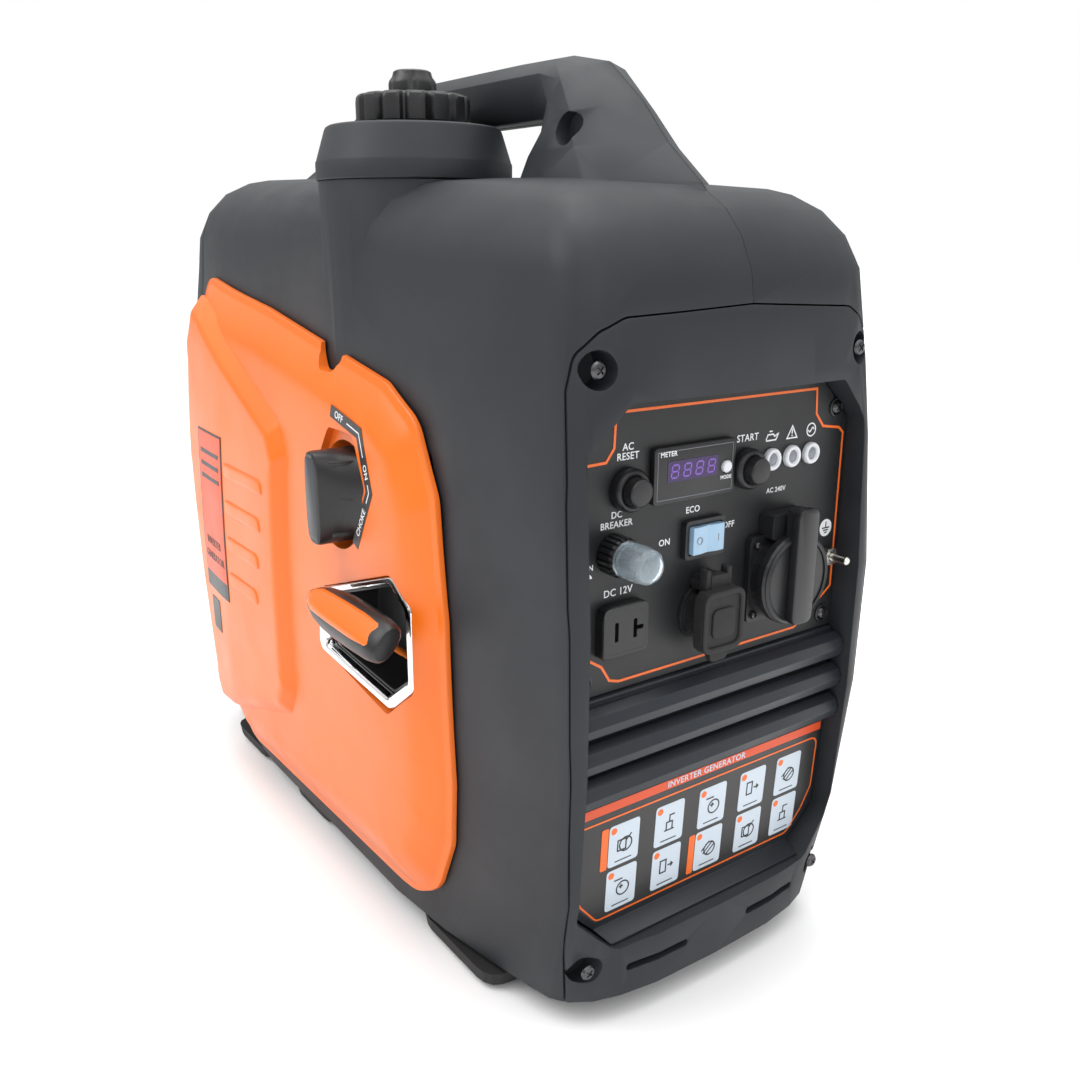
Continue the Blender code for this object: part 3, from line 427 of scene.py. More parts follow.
rocker_blue = made("rocker_blue", (0.36, 0.56, 0.76), 0.18, wear=0.05, variation=0.05, edge=0.0004,
                   grain=(900.0, 0.00003, 0.10))
rocker_blue = rocker_blue.set(Transmission_Weight=0.15, Coat_Weight=0.5).material
clear = made("clear_plastic", (0.80, 0.90, 0.96), 0.08, wear=0.0, variation=0.02, edge=0.0003,
             sheen_spread=0.03, grain=(500.0, 0.00003, 0.10))
clear = clear.set(Transmission_Weight=0.85, IOR=1.45).material

SLOT_FINISH = {"dark_plastic": dark_plastic, "black_plastic": black_plastic,
               "orange_plastic": orange_plastic, "rubber": rubber, "bright_plating": chrome,
               "cast_aluminium": aluminium, "steel": steel, "lamp_white": lens_white,
               "meter_grey": smoked, "clear_plastic": clear, "pale_blue_plastic": rocker_blue}


def paint_nodes():
    """Every node that stays gets the finish of its material slot."""
    for part in frame["record"]["subparts"]:
        node = frame["nodes"][part["node"]]
        node.data.materials.clear()
        node.data.materials.append(SLOT_FINISH[part["material_slot"]])
    frame["nodes"]["control_panel"].data.materials[0] = panel_black
    frame["nodes"]["louvre_panel"].data.materials[0] = louvre_plastic


# ---------------------------------------------------------------- camera, light and floor


def aim(thing, target):
    thing.rotation_euler = (target - thing.location).to_track_quat("-Z", "Y").to_euler()


def softbox(name, place, target, width, height, power, colour=(1.0, 1.0, 1.0)):
    data = bpy.data.lights.new(name, "AREA")
    data.shape = "RECTANGLE"
    data.size = width
    data.size_y = height
    data.energy = power
    data.color = colour
    thing = bpy.data.objects.new(name, data)
    bpy.context.scene.collection.objects.link(thing)
    thing.location = place
    aim(thing, target)


def studio():
    lens = bpy.data.cameras.new("camera")
    lens.lens = 34.6
    lens.sensor_width = 36.0
    camera = bpy.data.objects.new("camera", lens)
    bpy.context.scene.collection.objects.link(camera)
    camera.location = at(-0.361, -0.5795, 0.391)
    camera.rotation_euler = (math.radians(90 - 16.4), math.radians(-0.3), math.radians(-35.8))
    bpy.context.scene.camera = camera

    world = bpy.data.worlds.new("studio")
    world.use_nodes = True
    background = world.node_tree.nodes["Background"]
    background.inputs["Color"].default_value = (1.0, 1.0, 1.0, 1.0)
    tree = world.node_tree
    place = tree.nodes.new("ShaderNodeTexCoord")
    parts = tree.nodes.new("ShaderNodeSeparateXYZ")
    sky = tree.nodes.new("ShaderNodeMapRange")
    sky.inputs["To Min"].default_value = 0.20
    sky.inputs["To Max"].default_value = 1.85
    seen = tree.nodes.new("ShaderNodeLightPath")
    strength = tree.nodes.new("ShaderNodeMix")
    strength.inputs["B"].default_value = 1.0
    tree.links.new(place.outputs["Generated"], parts.inputs["Vector"])
    tree.links.new(parts.outputs["Z"], sky.inputs["Value"])
    tree.links.new(seen.outputs["Is Camera Ray"], strength.inputs["Factor"])
    tree.links.new(sky.outputs["Result"], strength.inputs["A"])
    tree.links.new(strength.outputs["Result"], background.inputs["Strength"])
    bpy.context.scene.world = world
    bpy.context.scene.view_settings.view_transform = "Standard"

    bpy.ops.object.select_all(action="DESELECT")
    bpy.ops.mesh.primitive_plane_add(size=30, location=(0, 0, 0))
    floor = bpy.context.object
    floor.name = "floor"
    paper = Finish("pale_paper", (0.97, 0.97, 0.97), 0.9)
    paper.surface(variation=0.005, wear=0.0)
    floor.data.materials.append(paper.material)

    centre = at(0, 0, 0.22)
    softbox("key", at(-1.6, 0.6, 1.9), centre, 1.2, 1.2, 14)
    softbox("front", at(-0.6, -2.2, 1.6), centre, 1.4, 0.9, 5)
    softbox("top", at(0.1, 0.1, 2.2), centre, 1.5, 1.5, 18)


# ---------------------------------------------------------------- moulded covers


def skin(node, material, slot, width=0.0007, angle=34):
    """The surface of a frame piece with softened edges and smooth shading."""
    thing = bpy.data.objects.new(node + "_skin", frame["nodes"][node].data.copy())
    bpy.context.scene.collection.objects.link(thing)
    only(thing)
    bpy.ops.mesh.customdata_custom_splitnormals_clear()
    edit(thing)
    bpy.ops.mesh.remove_doubles(threshold=0.00001)
    bpy.ops.mesh.dissolve_limited(angle_limit=math.radians(1.0))
    done()
    if width:
        soften(thing, width, 2, 42)
    smooth(thing, angle)
    return fit(thing, material, "case", slot, node)


def half_width(y, z):
    """Half-width of the body at length y and height z."""
    if z < 0.150:
        middle = 0.116 - 0.001 * ((z - 0.150) / 0.135) ** 2
    else:
        middle = 0.116 - 0.009 * ((z - 0.150) / 0.190) ** 2
    if z < 0.235:
        seam = 0.104 - 0.012 * ((z - 0.235) / 0.220) ** 2
    else:
        seam = 0.104 - 0.004 * ((z - 0.235) / 0.082) ** 2
    past = max(0.0, abs(y) - 0.110) / 0.134
    return middle - (middle - seam) * past ** 1.3


def stepped(outline, longest=0.008):
    """The outline with its long edges divided."""
    points = []
    for i, here in enumerate(outline):
        here = Vector(here)
        after = Vector(outline[(i + 1) % len(outline)])
        parts = max(1, math.ceil((after - here).length / longest))
        points += [here.lerp(after, k / parts) for k in range(parts)]
    return points


def inward(outline):
    """Unit vectors pointing in from each point of an outline."""
    area = sum(outline[i - 1].x * p.y - p.x * outline[i - 1].y for i, p in enumerate(outline))
    turn = 1 if area > 0 else -1
    normals = []
    for i in range(len(outline)):
        along = outline[(i + 1) % len(outline)] - outline[i - 1]
        normals.append(Vector((-along.y, along.x)).normalized() * turn)
    return normals


def shell(name, rings, capped=True):
    """Rings of points joined one to the next, closed by a pole at each end or back to the first."""
    count = len(rings[0])
    points = [point for ring in rings for point in ring]
    faces = []
    last = len(rings) - 1 if capped else len(rings)
    for r in range(last):
        low, high = r * count, ((r + 1) % len(rings)) * count
        for i in range(count):
            k = (i + 1) % count
            faces.append((low + i, low + k, high + k, high + i))
    if capped:
        for r in (0, len(rings) - 1):
            points.append(sum(rings[r], Vector()) / count)
            pole = len(points) - 1
            faces += [(r * count + i, r * count + (i + 1) % count, pole) for i in range(count)]
    thing = start_mesh(name, points, (), faces)
    tidy_normals(thing)
    return thing


def side_shell(name, side, outline, profile, centre, shares=(0.15, 0.32, 0.5, 0.68, 0.85, 0.97)):
    """A closed cover that follows the body's side; profile holds (inset, rise) from back to crown."""
    outline = stepped(outline)
    normals = inward(outline)
    centre = Vector(centre)

    def ring(inset, rise, share=0.0):
        points = []
        for point, normal in zip(outline, normals):
            inner = centre - point
            reach = inset / max(0.4, normal.dot(inner.normalized()))
            spot = (point + inner.normalized() * reach).lerp(centre, share)
            points.append(at(side * (half_width(spot.x, spot.y) + rise), spot.x, spot.y))
        return points

    back, front = profile[0], profile[-1]
    rings = [ring(*back, share) for share in reversed(shares)]
    rings += [ring(*step) for step in profile]
    rings += [ring(*front, share) for share in shares]
    return shell(name, rings)


SIDE_EDGE = rounded([(0.186, 0.362), (0.060, 0.346), (-0.100, 0.318), (-0.131, 0.302),
                     (-0.151, 0.266), (-0.160, 0.205), (-0.163, 0.115), (-0.160, 0.078),
                     (-0.146, 0.043), (-0.126, 0.032), (0.130, 0.026), (0.168, 0.038),
                     (0.190, 0.110), (0.204, 0.240), (0.200, 0.330)], 0.026, 8)
BLOCK_EDGE = rounded([(0.180, 0.350), (0.160, 0.346), (0.018, 0.282), (0.008, 0.264),
                      (0.008, 0.104), (0.018, 0.086), (0.160, 0.040), (0.172, 0.052),
                      (0.186, 0.140), (0.196, 0.240), (0.194, 0.325)], 0.014, 7)
SIDE_PROFILE = ((0.0, 0.0008), (0.0, 0.0030), (0.0003, 0.0037), (0.0010, 0.0040), (0.0042, 0.0041),
                (0.0052, 0.0044), (0.0064, 0.0054), (0.0200, 0.0104), (0.0235, 0.0114),
                (0.0270, 0.0118), (0.0310, 0.0120))
BLOCK_PROFILE = ((0.0, 0.0080), (0.0, 0.0104), (0.0008, 0.0112), (0.0095, 0.0174), (0.0112, 0.0182),
                 (0.0135, 0.0187), (0.0165, 0.0188))
SWITCH = middle_of("engine_switch")[1:]
FILLER = middle_of("fuel_cap")
SWITCH_POCKET = rounded([(-0.080, 0.2885), (-0.050, 0.2885), (-0.029, 0.256), (-0.040, 0.2260),
                         (-0.077, 0.2310), (-0.0955, 0.261)], 0.006, 4)


def prism_across(name, outline, side, near, far):
    """A side outline (length, height) given thickness across the body."""
    return slab(name, outline, lambda y, z, out: at(side * out, y, z), near, far)


def starter_outline(grow=0.0, steps=5):
    """Side view of the bright surround, an uneven hexagon."""
    centre = Vector((-0.090, 0.182))
    corners = [(-0.040, 0.193), (-0.123, 0.222), (-0.140, 0.208), (-0.141, 0.162),
               (-0.117, 0.142), (-0.037, 0.155)]
    grown = []
    for corner in corners:
        offset = Vector(corner) - centre
        grown.append(tuple(centre + offset * (1 + grow / offset.length)))
    return rounded(grown, 0.007, steps)


def orange_panel(side, node):
    """Orange cover with a raised rear block and four ribs, and on the left the pockets and filler notch."""
    cover = side_shell("side", side, SIDE_EDGE, SIDE_PROFILE, (-0.02, 0.175))
    block = side_shell("block", side, BLOCK_EDGE, BLOCK_PROFILE, (0.100, 0.185))
    carve(cover, block, "UNION")
    if side < 0:
        tower = rounded([(-0.0520, 0.400), (-0.0495, 0.326), (-0.0430, 0.3170), (-0.0270, 0.3170),
                         (-0.0215, 0.3265), (-0.0190, 0.400)], 0.006, 5)
        carve(cover, prism_across("tower", tower, side, 0.060, 0.200))
        notch = spun("notch", at(FILLER[0], FILLER[1], 0), UP, [(0, 0.300), (0.0556, 0.300),
                     (0.0556, 0.450), (0, 0.450)], 96)
        carve(cover, notch)
        carve(cover, prism_across("hole", starter_outline(0.0006), side, 0.060, 0.200))
        carve(cover, prism_across("pocket", SWITCH_POCKET, side, 0.1190, 0.200))
        carve(cover, spun("well", at(0, *SWITCH), LEFT, [(0, 0.090), (0.0300, 0.090),
              (0.0300, 0.200), (0, 0.200)], 64))
        cup = spun("cup", at(0, *SWITCH), LEFT, [(0.0110, 0.1045), (0.0335, 0.1045), (0.0335, 0.1188),
                   (0.0299, 0.1188), (0.0299, 0.1068), (0.0110, 0.1068)])
        cover = joined("cover", [cover, cup])
    for k in range(4):
        top = 0.2380 - 0.0255 * k
        y = 0.031 + 0.005 * k
        rib = rounded([(y, top - 0.005), (0.0995, top - 0.005), (0.1000, top + 0.005),
                       (y + 0.004, top + 0.005)], 0.0048, 4)
        ridge = side_shell("rib", side, rib, ((0.0, 0.0176), (0.0, 0.0189), (0.0008, 0.0196),
                           (0.0024, 0.0199)), ((y + 0.102) / 2, top), (0.5, 0.95))
        cover = joined("cover", [cover, ridge])
    cover.name = node + "_skin"
    cover.data.name = cover.name
    only(cover)
    smooth(cover, 28)
    fit(cover, orange_plastic, "case", "orange_plastic", node)


def covers():
    """The dark mouldings keep the frame's shape, the orange panels are made anew."""
    for node in ("left_cover", "right_cover", "front_bezel", "rear_cover", "base_tray"):
        skin(node, dark_plastic, "dark_plastic")
    skin("louvre_panel", louvre_plastic, "dark_plastic", 0.0004)
    orange_panel(-1, "left_panel")
    orange_panel(1, "right_panel")


# ---------------------------------------------------------------- starter and switch


STARTER_LEAN = 0.065
STARTER_REAR = -0.040


def leaned(x, y, z):
    """A point of the starter, whose pieces lean in toward the front as the panel does."""
    return at(x + STARTER_LEAN * (STARTER_REAR - y), y, z)


def surround():
    """Bright hexagonal rim with rounded edges and a stepped inner wall."""
    rings = []
    for grow, out in ((0.0, 0.1145), (0.0, 0.1282), (-0.0003, 0.1290), (-0.0012, 0.1300),
                      (-0.0022, 0.1304), (-0.0062, 0.1300), (-0.0076, 0.1292), (-0.0083, 0.1278),
                      (-0.0085, 0.1240), (-0.0085, 0.1145)):
        rings.append([leaned(-out, y, z) for y, z in starter_outline(grow)])
    thing = shell("starter_surround_rim", rings, False)
    smooth(thing, 24)
    fit(thing, chrome, "case", "bright_plating", "starter_surround")


PULL_ANGLE = math.radians(40)
PULL = Vector((-math.cos(PULL_ANGLE), 0, math.sin(PULL_ANGLE)))
BACK = Vector((0, 1, 0))
ACROSS = PULL.cross(BACK)


def grip_loft(name, middle, stations, power=2.6, steps=40):
    """Rings along the grip: (place along it, half thickness, half width, offset outward)."""
    rings = []
    for along, thick, wide, out in stations:
        ring = []
        for i in range(steps):
            angle = 2 * math.pi * i / steps
            cosine, sine = math.cos(angle), math.sin(angle)
            up = math.copysign(abs(cosine) ** (2 / power), cosine)
            side = math.copysign(abs(sine) ** (2 / power), sine)
            ring.append(middle + BACK * along + PULL * (out + thick * up) + ACROSS * wide * side)
        rings.append(ring)
    return shell(name, rings)


def starter():
    """Rim, grip with its stem, and the orange inlay let into the grip."""
    surround()
    low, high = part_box("starter_grip")
    middle = at(-0.1415, (low.y + high.y) / 2 - MIDDLE.y, 0.1955)
    body = grip_loft("grip", middle, (
        (-0.0458, 0.0030, 0.0060, 0.0010), (-0.0452, 0.0052, 0.0090, 0.0010),
        (-0.0430, 0.0066, 0.0108, 0.0008), (-0.0350, 0.0078, 0.0120, 0.0004),
        (-0.0200, 0.0086, 0.0124, 0.0), (0.0, 0.0088, 0.0126, 0.0), (0.0150, 0.0084, 0.0118, 0.0),
        (0.0280, 0.0074, 0.0100, 0.0002), (0.0370, 0.0058, 0.0072, 0.0006),
        (0.0430, 0.0036, 0.0042, 0.0012), (0.0456, 0.0014, 0.0016, 0.0016)), 2.2)
    stem = spun("stem", middle, PULL, [(0, -0.0258), (0.0052, -0.0258), (0.0058, -0.0250),
                (0.0076, -0.0160), (0.0092, -0.0080), (0.0085, 0.0), (0, 0.0)], 40)
    body = joined("grip_body", [body, stem])
    smooth(body, 35)
    fit(body, black_plastic, "starter_handle", "black_plastic", "starter_grip")
    inlay = grip_loft("grip_inlay", middle, (
        (-0.0405, 0.0022, 0.0030, 0.0034), (-0.0398, 0.0040, 0.0072, 0.0034),
        (-0.0360, 0.0056, 0.0080, 0.0026), (-0.0200, 0.0071, 0.0084, 0.0022),
        (0.0, 0.0074, 0.0084, 0.0020), (0.0150, 0.0068, 0.0080, 0.0022),
        (0.0290, 0.0054, 0.0070, 0.0030), (0.0370, 0.0036, 0.0046, 0.0034),
        (0.0425, 0.0014, 0.0018, 0.0036)), 3.4)
    smooth(inlay, 35)
    fit(inlay, orange_plastic, "starter_handle", "orange_plastic")


def rope():
    """A braided rope that reaches from the housing to the grip at rest."""
    low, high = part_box("starter_rope")
    middle = at(-0.1415, (low.y + high.y) / 2 - MIDDLE.y, 0.1955)
    inner = -(middle - Vector((high.x, middle.y, low.z))).length + 0.002
    count = 90
    rings = []
    for k in range(count + 1):
        along = inner + (-0.0262 - inner) * k / count
        ring = []
        for i in range(16):
            angle = 2 * math.pi * i / 16
            reach = 0.0019 + 0.00008 * math.cos(2 * angle + k * 0.9)
            ring.append(middle + PULL * along + BACK * reach * math.cos(angle)
                        + ACROSS * reach * math.sin(angle))
        rings.append(ring)
    thing = shell("starter_rope_braid", rings)
    smooth(thing, 40)
    thing.data.materials.clear()
    thing.data.materials.append(rope_orange)
    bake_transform(thing)
    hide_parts("starter_rope")


def switch():
    """Turning knob: round base, finger bar, ribs and a flat face."""
    y0, z0 = SWITCH
    rings = []
    for out, wide, tall, power in ((0.1100, 0.0262, 0.0262, 2.0), (0.1185, 0.0262, 0.0262, 2.0),
                                   (0.1192, 0.0256, 0.0260, 2.0), (0.1205, 0.0225, 0.0260, 2.0),
                                   (0.1250, 0.0160, 0.0262, 2.2), (0.1310, 0.0120, 0.0262, 2.6),
                                   (0.1385, 0.0090, 0.0260, 3.5), (0.1402, 0.0084, 0.0256, 3.6),
                                   (0.1409, 0.0072, 0.0246, 3.6)):
        ring = []
        for degrees in range(0, 360, 5):
            side, up = math.cos(math.radians(degrees)), math.sin(math.radians(degrees))
            y = y0 + wide * math.copysign(abs(side) ** (2 / power), side)
            z = z0 + tall * math.copysign(abs(up) ** (2 / power), up)
            ring.append(at(-out, y, z))
        rings.append(ring)
    knob = shell("knob", rings)
    shaft = spun("shaft", at(0, y0, z0), LEFT, [(0, 0.0955), (0.0098, 0.0955), (0.0098, 0.1120),
                 (0, 0.1120)], 40)
    pieces = [knob, shaft]
    for k in range(-3, 4):
        height = z0 + 0.0066 * k
        half = 0.0205 - 0.0022 * abs(k)
        outline = rounded([(y0 - half, 0.1195), (y0 + half, 0.1195), (y0 + 0.0098, 0.1335),
                           (y0 - 0.0098, 0.1335)], 0.002, 3)
        pieces.append(slab("rib", outline, lambda y, out, z: at(-out, y, z), height - 0.0011,
                           height + 0.0011, 0.0003))
    knob = joined("switch_knob_ribbed", pieces)
    smooth(knob, 32)
    fit(knob, black_plastic, "switch_knob", "black_plastic", "engine_switch")
    face = slab("switch_face", oblong(y0, z0, 0.0125, 0.0455, 0.0030, 5),
                lambda y, z, out: at(-out, y, z), 0.1400, 0.1410, 0.0002)
    fit(face, louvre_plastic, "switch_knob", "dark_plastic")


# ---------------------------------------------------------------- filler


def fluted(name, centre, rings, lobes, depth, steps=144):
    """A round piece whose rim is scalloped; rings hold (radius, height, share of the scallop)."""
    levels = []
    for radius, height, share in rings:
        level = []
        for i in range(steps):
            angle = 2 * math.pi * i / steps
            dip = max(0.0, math.cos(lobes * angle)) ** 3
            reach = radius - depth * share * dip
            level.append(centre + Vector((reach * math.cos(angle), reach * math.sin(angle), height)))
        levels.append(level)
    thing = shell(name, levels)
    smooth(thing, 30)
    return thing


def filler():
    """Collar, plug, fluted cap and vent knob, one above the other."""
    spot = at(FILLER[0], FILLER[1], 0)
    collar = spun("filler_collar_rim", spot, UP, [
        (0.0415, 0.4188), (0.0545, 0.4188), (0.0550, 0.4193), (0.0550, 0.4283), (0.0545, 0.4292),
        (0.0494, 0.4452), (0.0486, 0.4466), (0.0472, 0.4474), (0.0345, 0.4474), (0.0340, 0.4470),
        (0.0340, 0.4440), (0.0415, 0.4440)], 128)
    fit(collar, dark_plastic, "case", "dark_plastic", "filler_collar")
    plug = spun("cap_plug_turned", spot, UP, [(0, 0.4160), (0.0240, 0.4160), (0.0260, 0.4180),
                (0.0260, 0.4486), (0, 0.4486)], 64)
    fit(plug, black_plastic, "filler_plug", "black_plastic", "cap_plug")
    cap = fluted("fuel_cap_fluted", spot, (
        (0.0312, 0.4491, 1.0), (0.0317, 0.4496, 1.0), (0.0318, 0.4600, 1.0), (0.0314, 0.4624, 1.0),
        (0.0304, 0.4636, 1.0), (0.0290, 0.4640, 0.8), (0.0262, 0.4640, 0.3), (0.0254, 0.4632, 0.0),
        (0.0250, 0.4622, 0.0), (0.0190, 0.4622, 0.0), (0.0184, 0.4632, 0.0), (0.0176, 0.4640, 0.0),
        (0.0120, 0.4640, 0.0)), 14, 0.0034)
    fit(cap, black_plastic, "filler_cap", "dark_plastic", "fuel_cap")
    knob = fluted("vent_knob_fluted", spot, (
        (0.0128, 0.4644, 0.0), (0.0132, 0.4648, 0.0), (0.0132, 0.4700, 1.0), (0.0128, 0.4716, 1.0),
        (0.0112, 0.4736, 0.6), (0.0104, 0.4762, 0.0), (0.0094, 0.4769, 0.0), (0.0060, 0.4770, 0.0)),
        6, 0.0012)
    fit(knob, black_plastic, "filler_vent", "dark_plastic", "vent_knob")


# ---------------------------------------------------------------- control panel


def printed(thing, ink, body="case", slot="black_plastic"):
    return fit(thing, ink, body, slot)


PRINT = 0.00008


def screw(name, centre, axis, radius=0.0034, body="case"):
    """A pan-head screw with a cross recess."""
    head = spun(name, centre, axis, [(0, 0), (radius, 0), (radius, 0.0008), (radius * 0.8, 0.0018),
                (radius * 0.45, 0.0023), (0, 0.0024)], 32)
    side = axis.orthogonal().normalized()
    other = axis.cross(side)
    for first, second in ((side, other), (other, side)):
        slot = slab("cross", [(-radius * 0.55, -0.00045), (radius * 0.55, -0.00045),
                    (radius * 0.55, 0.00045), (-radius * 0.55, 0.00045)],
                    lambda a, b, out: centre + first * a + second * b + axis * out, 0.0012, 0.006)
        carve(head, slot)
    smooth(head, 30)
    return fit(head, steel_dark, body, "steel")


def screws():
    for k, (x, z) in enumerate(((-0.082, 0.305), (0.082, 0.305), (-0.084, 0.190), (0.084, 0.190))):
        screw("panel_screw_%d" % k, on_panel(x, z, 0.0001), FRONT)
        washer = spun("panel_washer_%d" % k, on_panel(x, z, 0.0), FRONT,
                      [(0.0037, 0.00006), (0.0052, 0.00006), (0.0050, 0.0009), (0.0040, 0.0011)], 40)
        fit(washer, black_plastic, "case", "black_plastic")
    for k, (x, z) in enumerate(((-0.0855, 0.3365), (0.0855, 0.3365), (-0.084, 0.0365),
                                (0.084, 0.0365))):
        screw("bezel_screw_%d" % k, at(x, -0.2390, z), FRONT, 0.0040)


def text_on_panel():
    for k, (text, x, z, size, align) in enumerate((
            ("AC", -0.0603, 0.2998, 0.0034, "CENTER"), ("RESET", -0.0603, 0.2955, 0.0034, "CENTER"),
            ("START", 0.0168, 0.2956, 0.0036, "CENTER"), ("MODE", -0.0005, 0.2789, 0.0018, "CENTER"),
            ("METER", -0.0435, 0.2943, 0.0024, "LEFT"), ("AC 240V", 0.0400, 0.2664, 0.0026, "CENTER"),
            ("ECO", -0.0183, 0.2645, 0.0032, "CENTER"), ("ON", -0.0360, 0.2508, 0.0032, "CENTER"),
            ("OFF", 0.0068, 0.2530, 0.0032, "CENTER"), ("DC", -0.0660, 0.2690, 0.0032, "CENTER"),
            ("BREAKER", -0.0660, 0.2645, 0.0032, "CENTER"), ("ON", -0.0820, 0.2462, 0.0026, "CENTER"),
            ("DC 12V", -0.0640, 0.2318, 0.0036, "CENTER"))):
        out = 0.00338 if text in ("METER", "MODE") else PRINT
        printed(words("legend_%d" % k, text, x, z, size, on_panel, out, 0.0, align), white_ink)


def panel_lines():
    right = [(0.0, 0.316), (0.066, 0.316), (0.067, 0.303), (0.073, 0.296), (0.086, 0.294),
             (0.0895, 0.291), (0.0900, 0.205), (0.083, 0.200), (0.076, 0.1955), (0.070, 0.190),
             (0.062, 0.1862), (0.0, 0.1862)]
    left = [(0.0, 0.1862), (-0.062, 0.1862), (-0.068, 0.188), (-0.073, 0.196), (-0.080, 0.2005),
            (-0.0905, 0.201)]
    upper = [(-0.0905, 0.2935), (-0.073, 0.294), (-0.0685, 0.300), (-0.068, 0.312),
             (-0.066, 0.316), (0.0, 0.316)]
    for k, path in enumerate((right, left, upper)):
        printed(ribbon("panel_line_%d" % k, path, 0.0013, on_panel, PRINT), orange_ink)


def disc(name, x, z, radius, place, out, thick=0.0001, steps=40):
    return slab(name, circle(x, z, radius, steps), place, out, out + thick)


def ring_line(name, x, z, radius, width, place, out, start=0.0, sweep=360.0):
    path = circle(x, z, radius, 40, start, sweep)
    return ribbon(name, path, width, place, out, sweep == 360.0)


def lamps():
    """Three ringed lamps with a line icon above each."""
    for k, (name, x) in enumerate((("oil", 0.0345), ("overload", 0.0492), ("output", 0.0638))):
        bezel = spun("lamp_bezel_" + name, on_panel(x, 0.2829, 0), FRONT,
                     [(0.0032, 0.0001), (0.0057, 0.0001), (0.0057, 0.0018), (0.0052, 0.0026),
                      (0.0038, 0.0026), (0.0032, 0.0018)], 48)
        fit(bezel, lens_white, "case", "lamp_white", "lamp_" + name)
        lens = spun("lamp_lens_" + name, on_panel(x, 0.2829, 0), FRONT,
                    [(0, 0.0001), (0.0031, 0.0001), (0.0031, 0.0015), (0.0018, 0.0022), (0, 0.0024)], 40)
        fit(lens, lens_grey, "case", "lamp_white")
    icon = [ribbon("oil", [(0.0300, 0.2930), (0.0312, 0.2956), (0.0352, 0.2956), (0.0362, 0.2944),
                           (0.0392, 0.2960)], 0.0007, on_panel, PRINT),
            ribbon("oil", [(0.0300, 0.2926), (0.0372, 0.2926), (0.0392, 0.2960)], 0.0007, on_panel, PRINT),
            ribbon("oil", [(0.0322, 0.2972), (0.0344, 0.2972)], 0.0007, on_panel, PRINT)]
    printed(joined("oil_icon", icon), white_ink)
    icon = [ribbon("alert", [(0.0454, 0.2922), (0.0530, 0.2922), (0.0492, 0.2984)], 0.0007, on_panel,
                   PRINT, True),
            ribbon("alert", [(0.0492, 0.2968), (0.0492, 0.2944)], 0.0008, on_panel, PRINT),
            ribbon("alert", [(0.0492, 0.2938), (0.0492, 0.2931)], 0.0008, on_panel, PRINT)]
    printed(joined("alert_icon", icon), white_ink)
    wave = [(0.0638 + 0.00055 * k, 0.2950 + 0.0011 * math.sin(k * math.pi / 4)) for k in range(-4, 5)]
    icon = [ring_line("output", 0.0638, 0.2950, 0.0033, 0.0007, on_panel, PRINT),
            ribbon("output", wave, 0.0007, on_panel, PRINT)]
    printed(joined("output_icon", icon), white_ink)


SEGMENTS = (((0, 2), (1, 2)), ((0, 1), (1, 1)), ((0, 0), (1, 0)), ((0, 0), (0, 1)), ((0, 1), (0, 2)),
            ((1, 0), (1, 1)), ((1, 1), (1, 2)))


def meter():
    """Black frame, dark display and four seven-stroke digits."""
    rim = slab("meter_rim", oblong(-0.0206, 0.2842, 0.0526, 0.0271, 0.0022, 5), on_panel, 0.0003, 0.0033,
               0.0004)
    hole = slab("hole", circle(-0.0005, 0.2842, 0.0034), on_panel, -0.001, 0.006)
    carve(rim, hole)
    smooth(rim)
    fit(rim, black_plastic, "case", "meter_grey", "meter")
    face = slab("meter_face", oblong(-0.0225, 0.2858, 0.0325, 0.0100, 0.0006, 3), on_panel, 0.0033,
                0.0035)
    fit(face, display_glass, "case", "meter_grey")
    border = ribbon("meter_border", [(-0.0448, 0.2728), (0.0036, 0.2728), (0.0036, 0.2956),
                    (-0.0448, 0.2956)], 0.00035, on_panel, 0.0033, True)
    printed(border, label_line)
    strokes = []
    for k in range(4):
        left = -0.0366 + 0.0078 * k
        for (a, b), (c, d) in SEGMENTS:
            lean = 0.0004
            ends = [(left + a * 0.0042 + b * lean, 0.2828 + b * 0.0030),
                    (left + c * 0.0042 + d * lean, 0.2828 + d * 0.0030)]
            start = Vector(ends[0]).lerp(Vector(ends[1]), 0.10)
            end = Vector(ends[0]).lerp(Vector(ends[1]), 0.90)
            strokes.append(ribbon("stroke", [tuple(start), tuple(end)], 0.0008, on_panel, 0.0035))
    fit(joined("meter_digits", strokes), digit_glow, "case", "meter_grey")


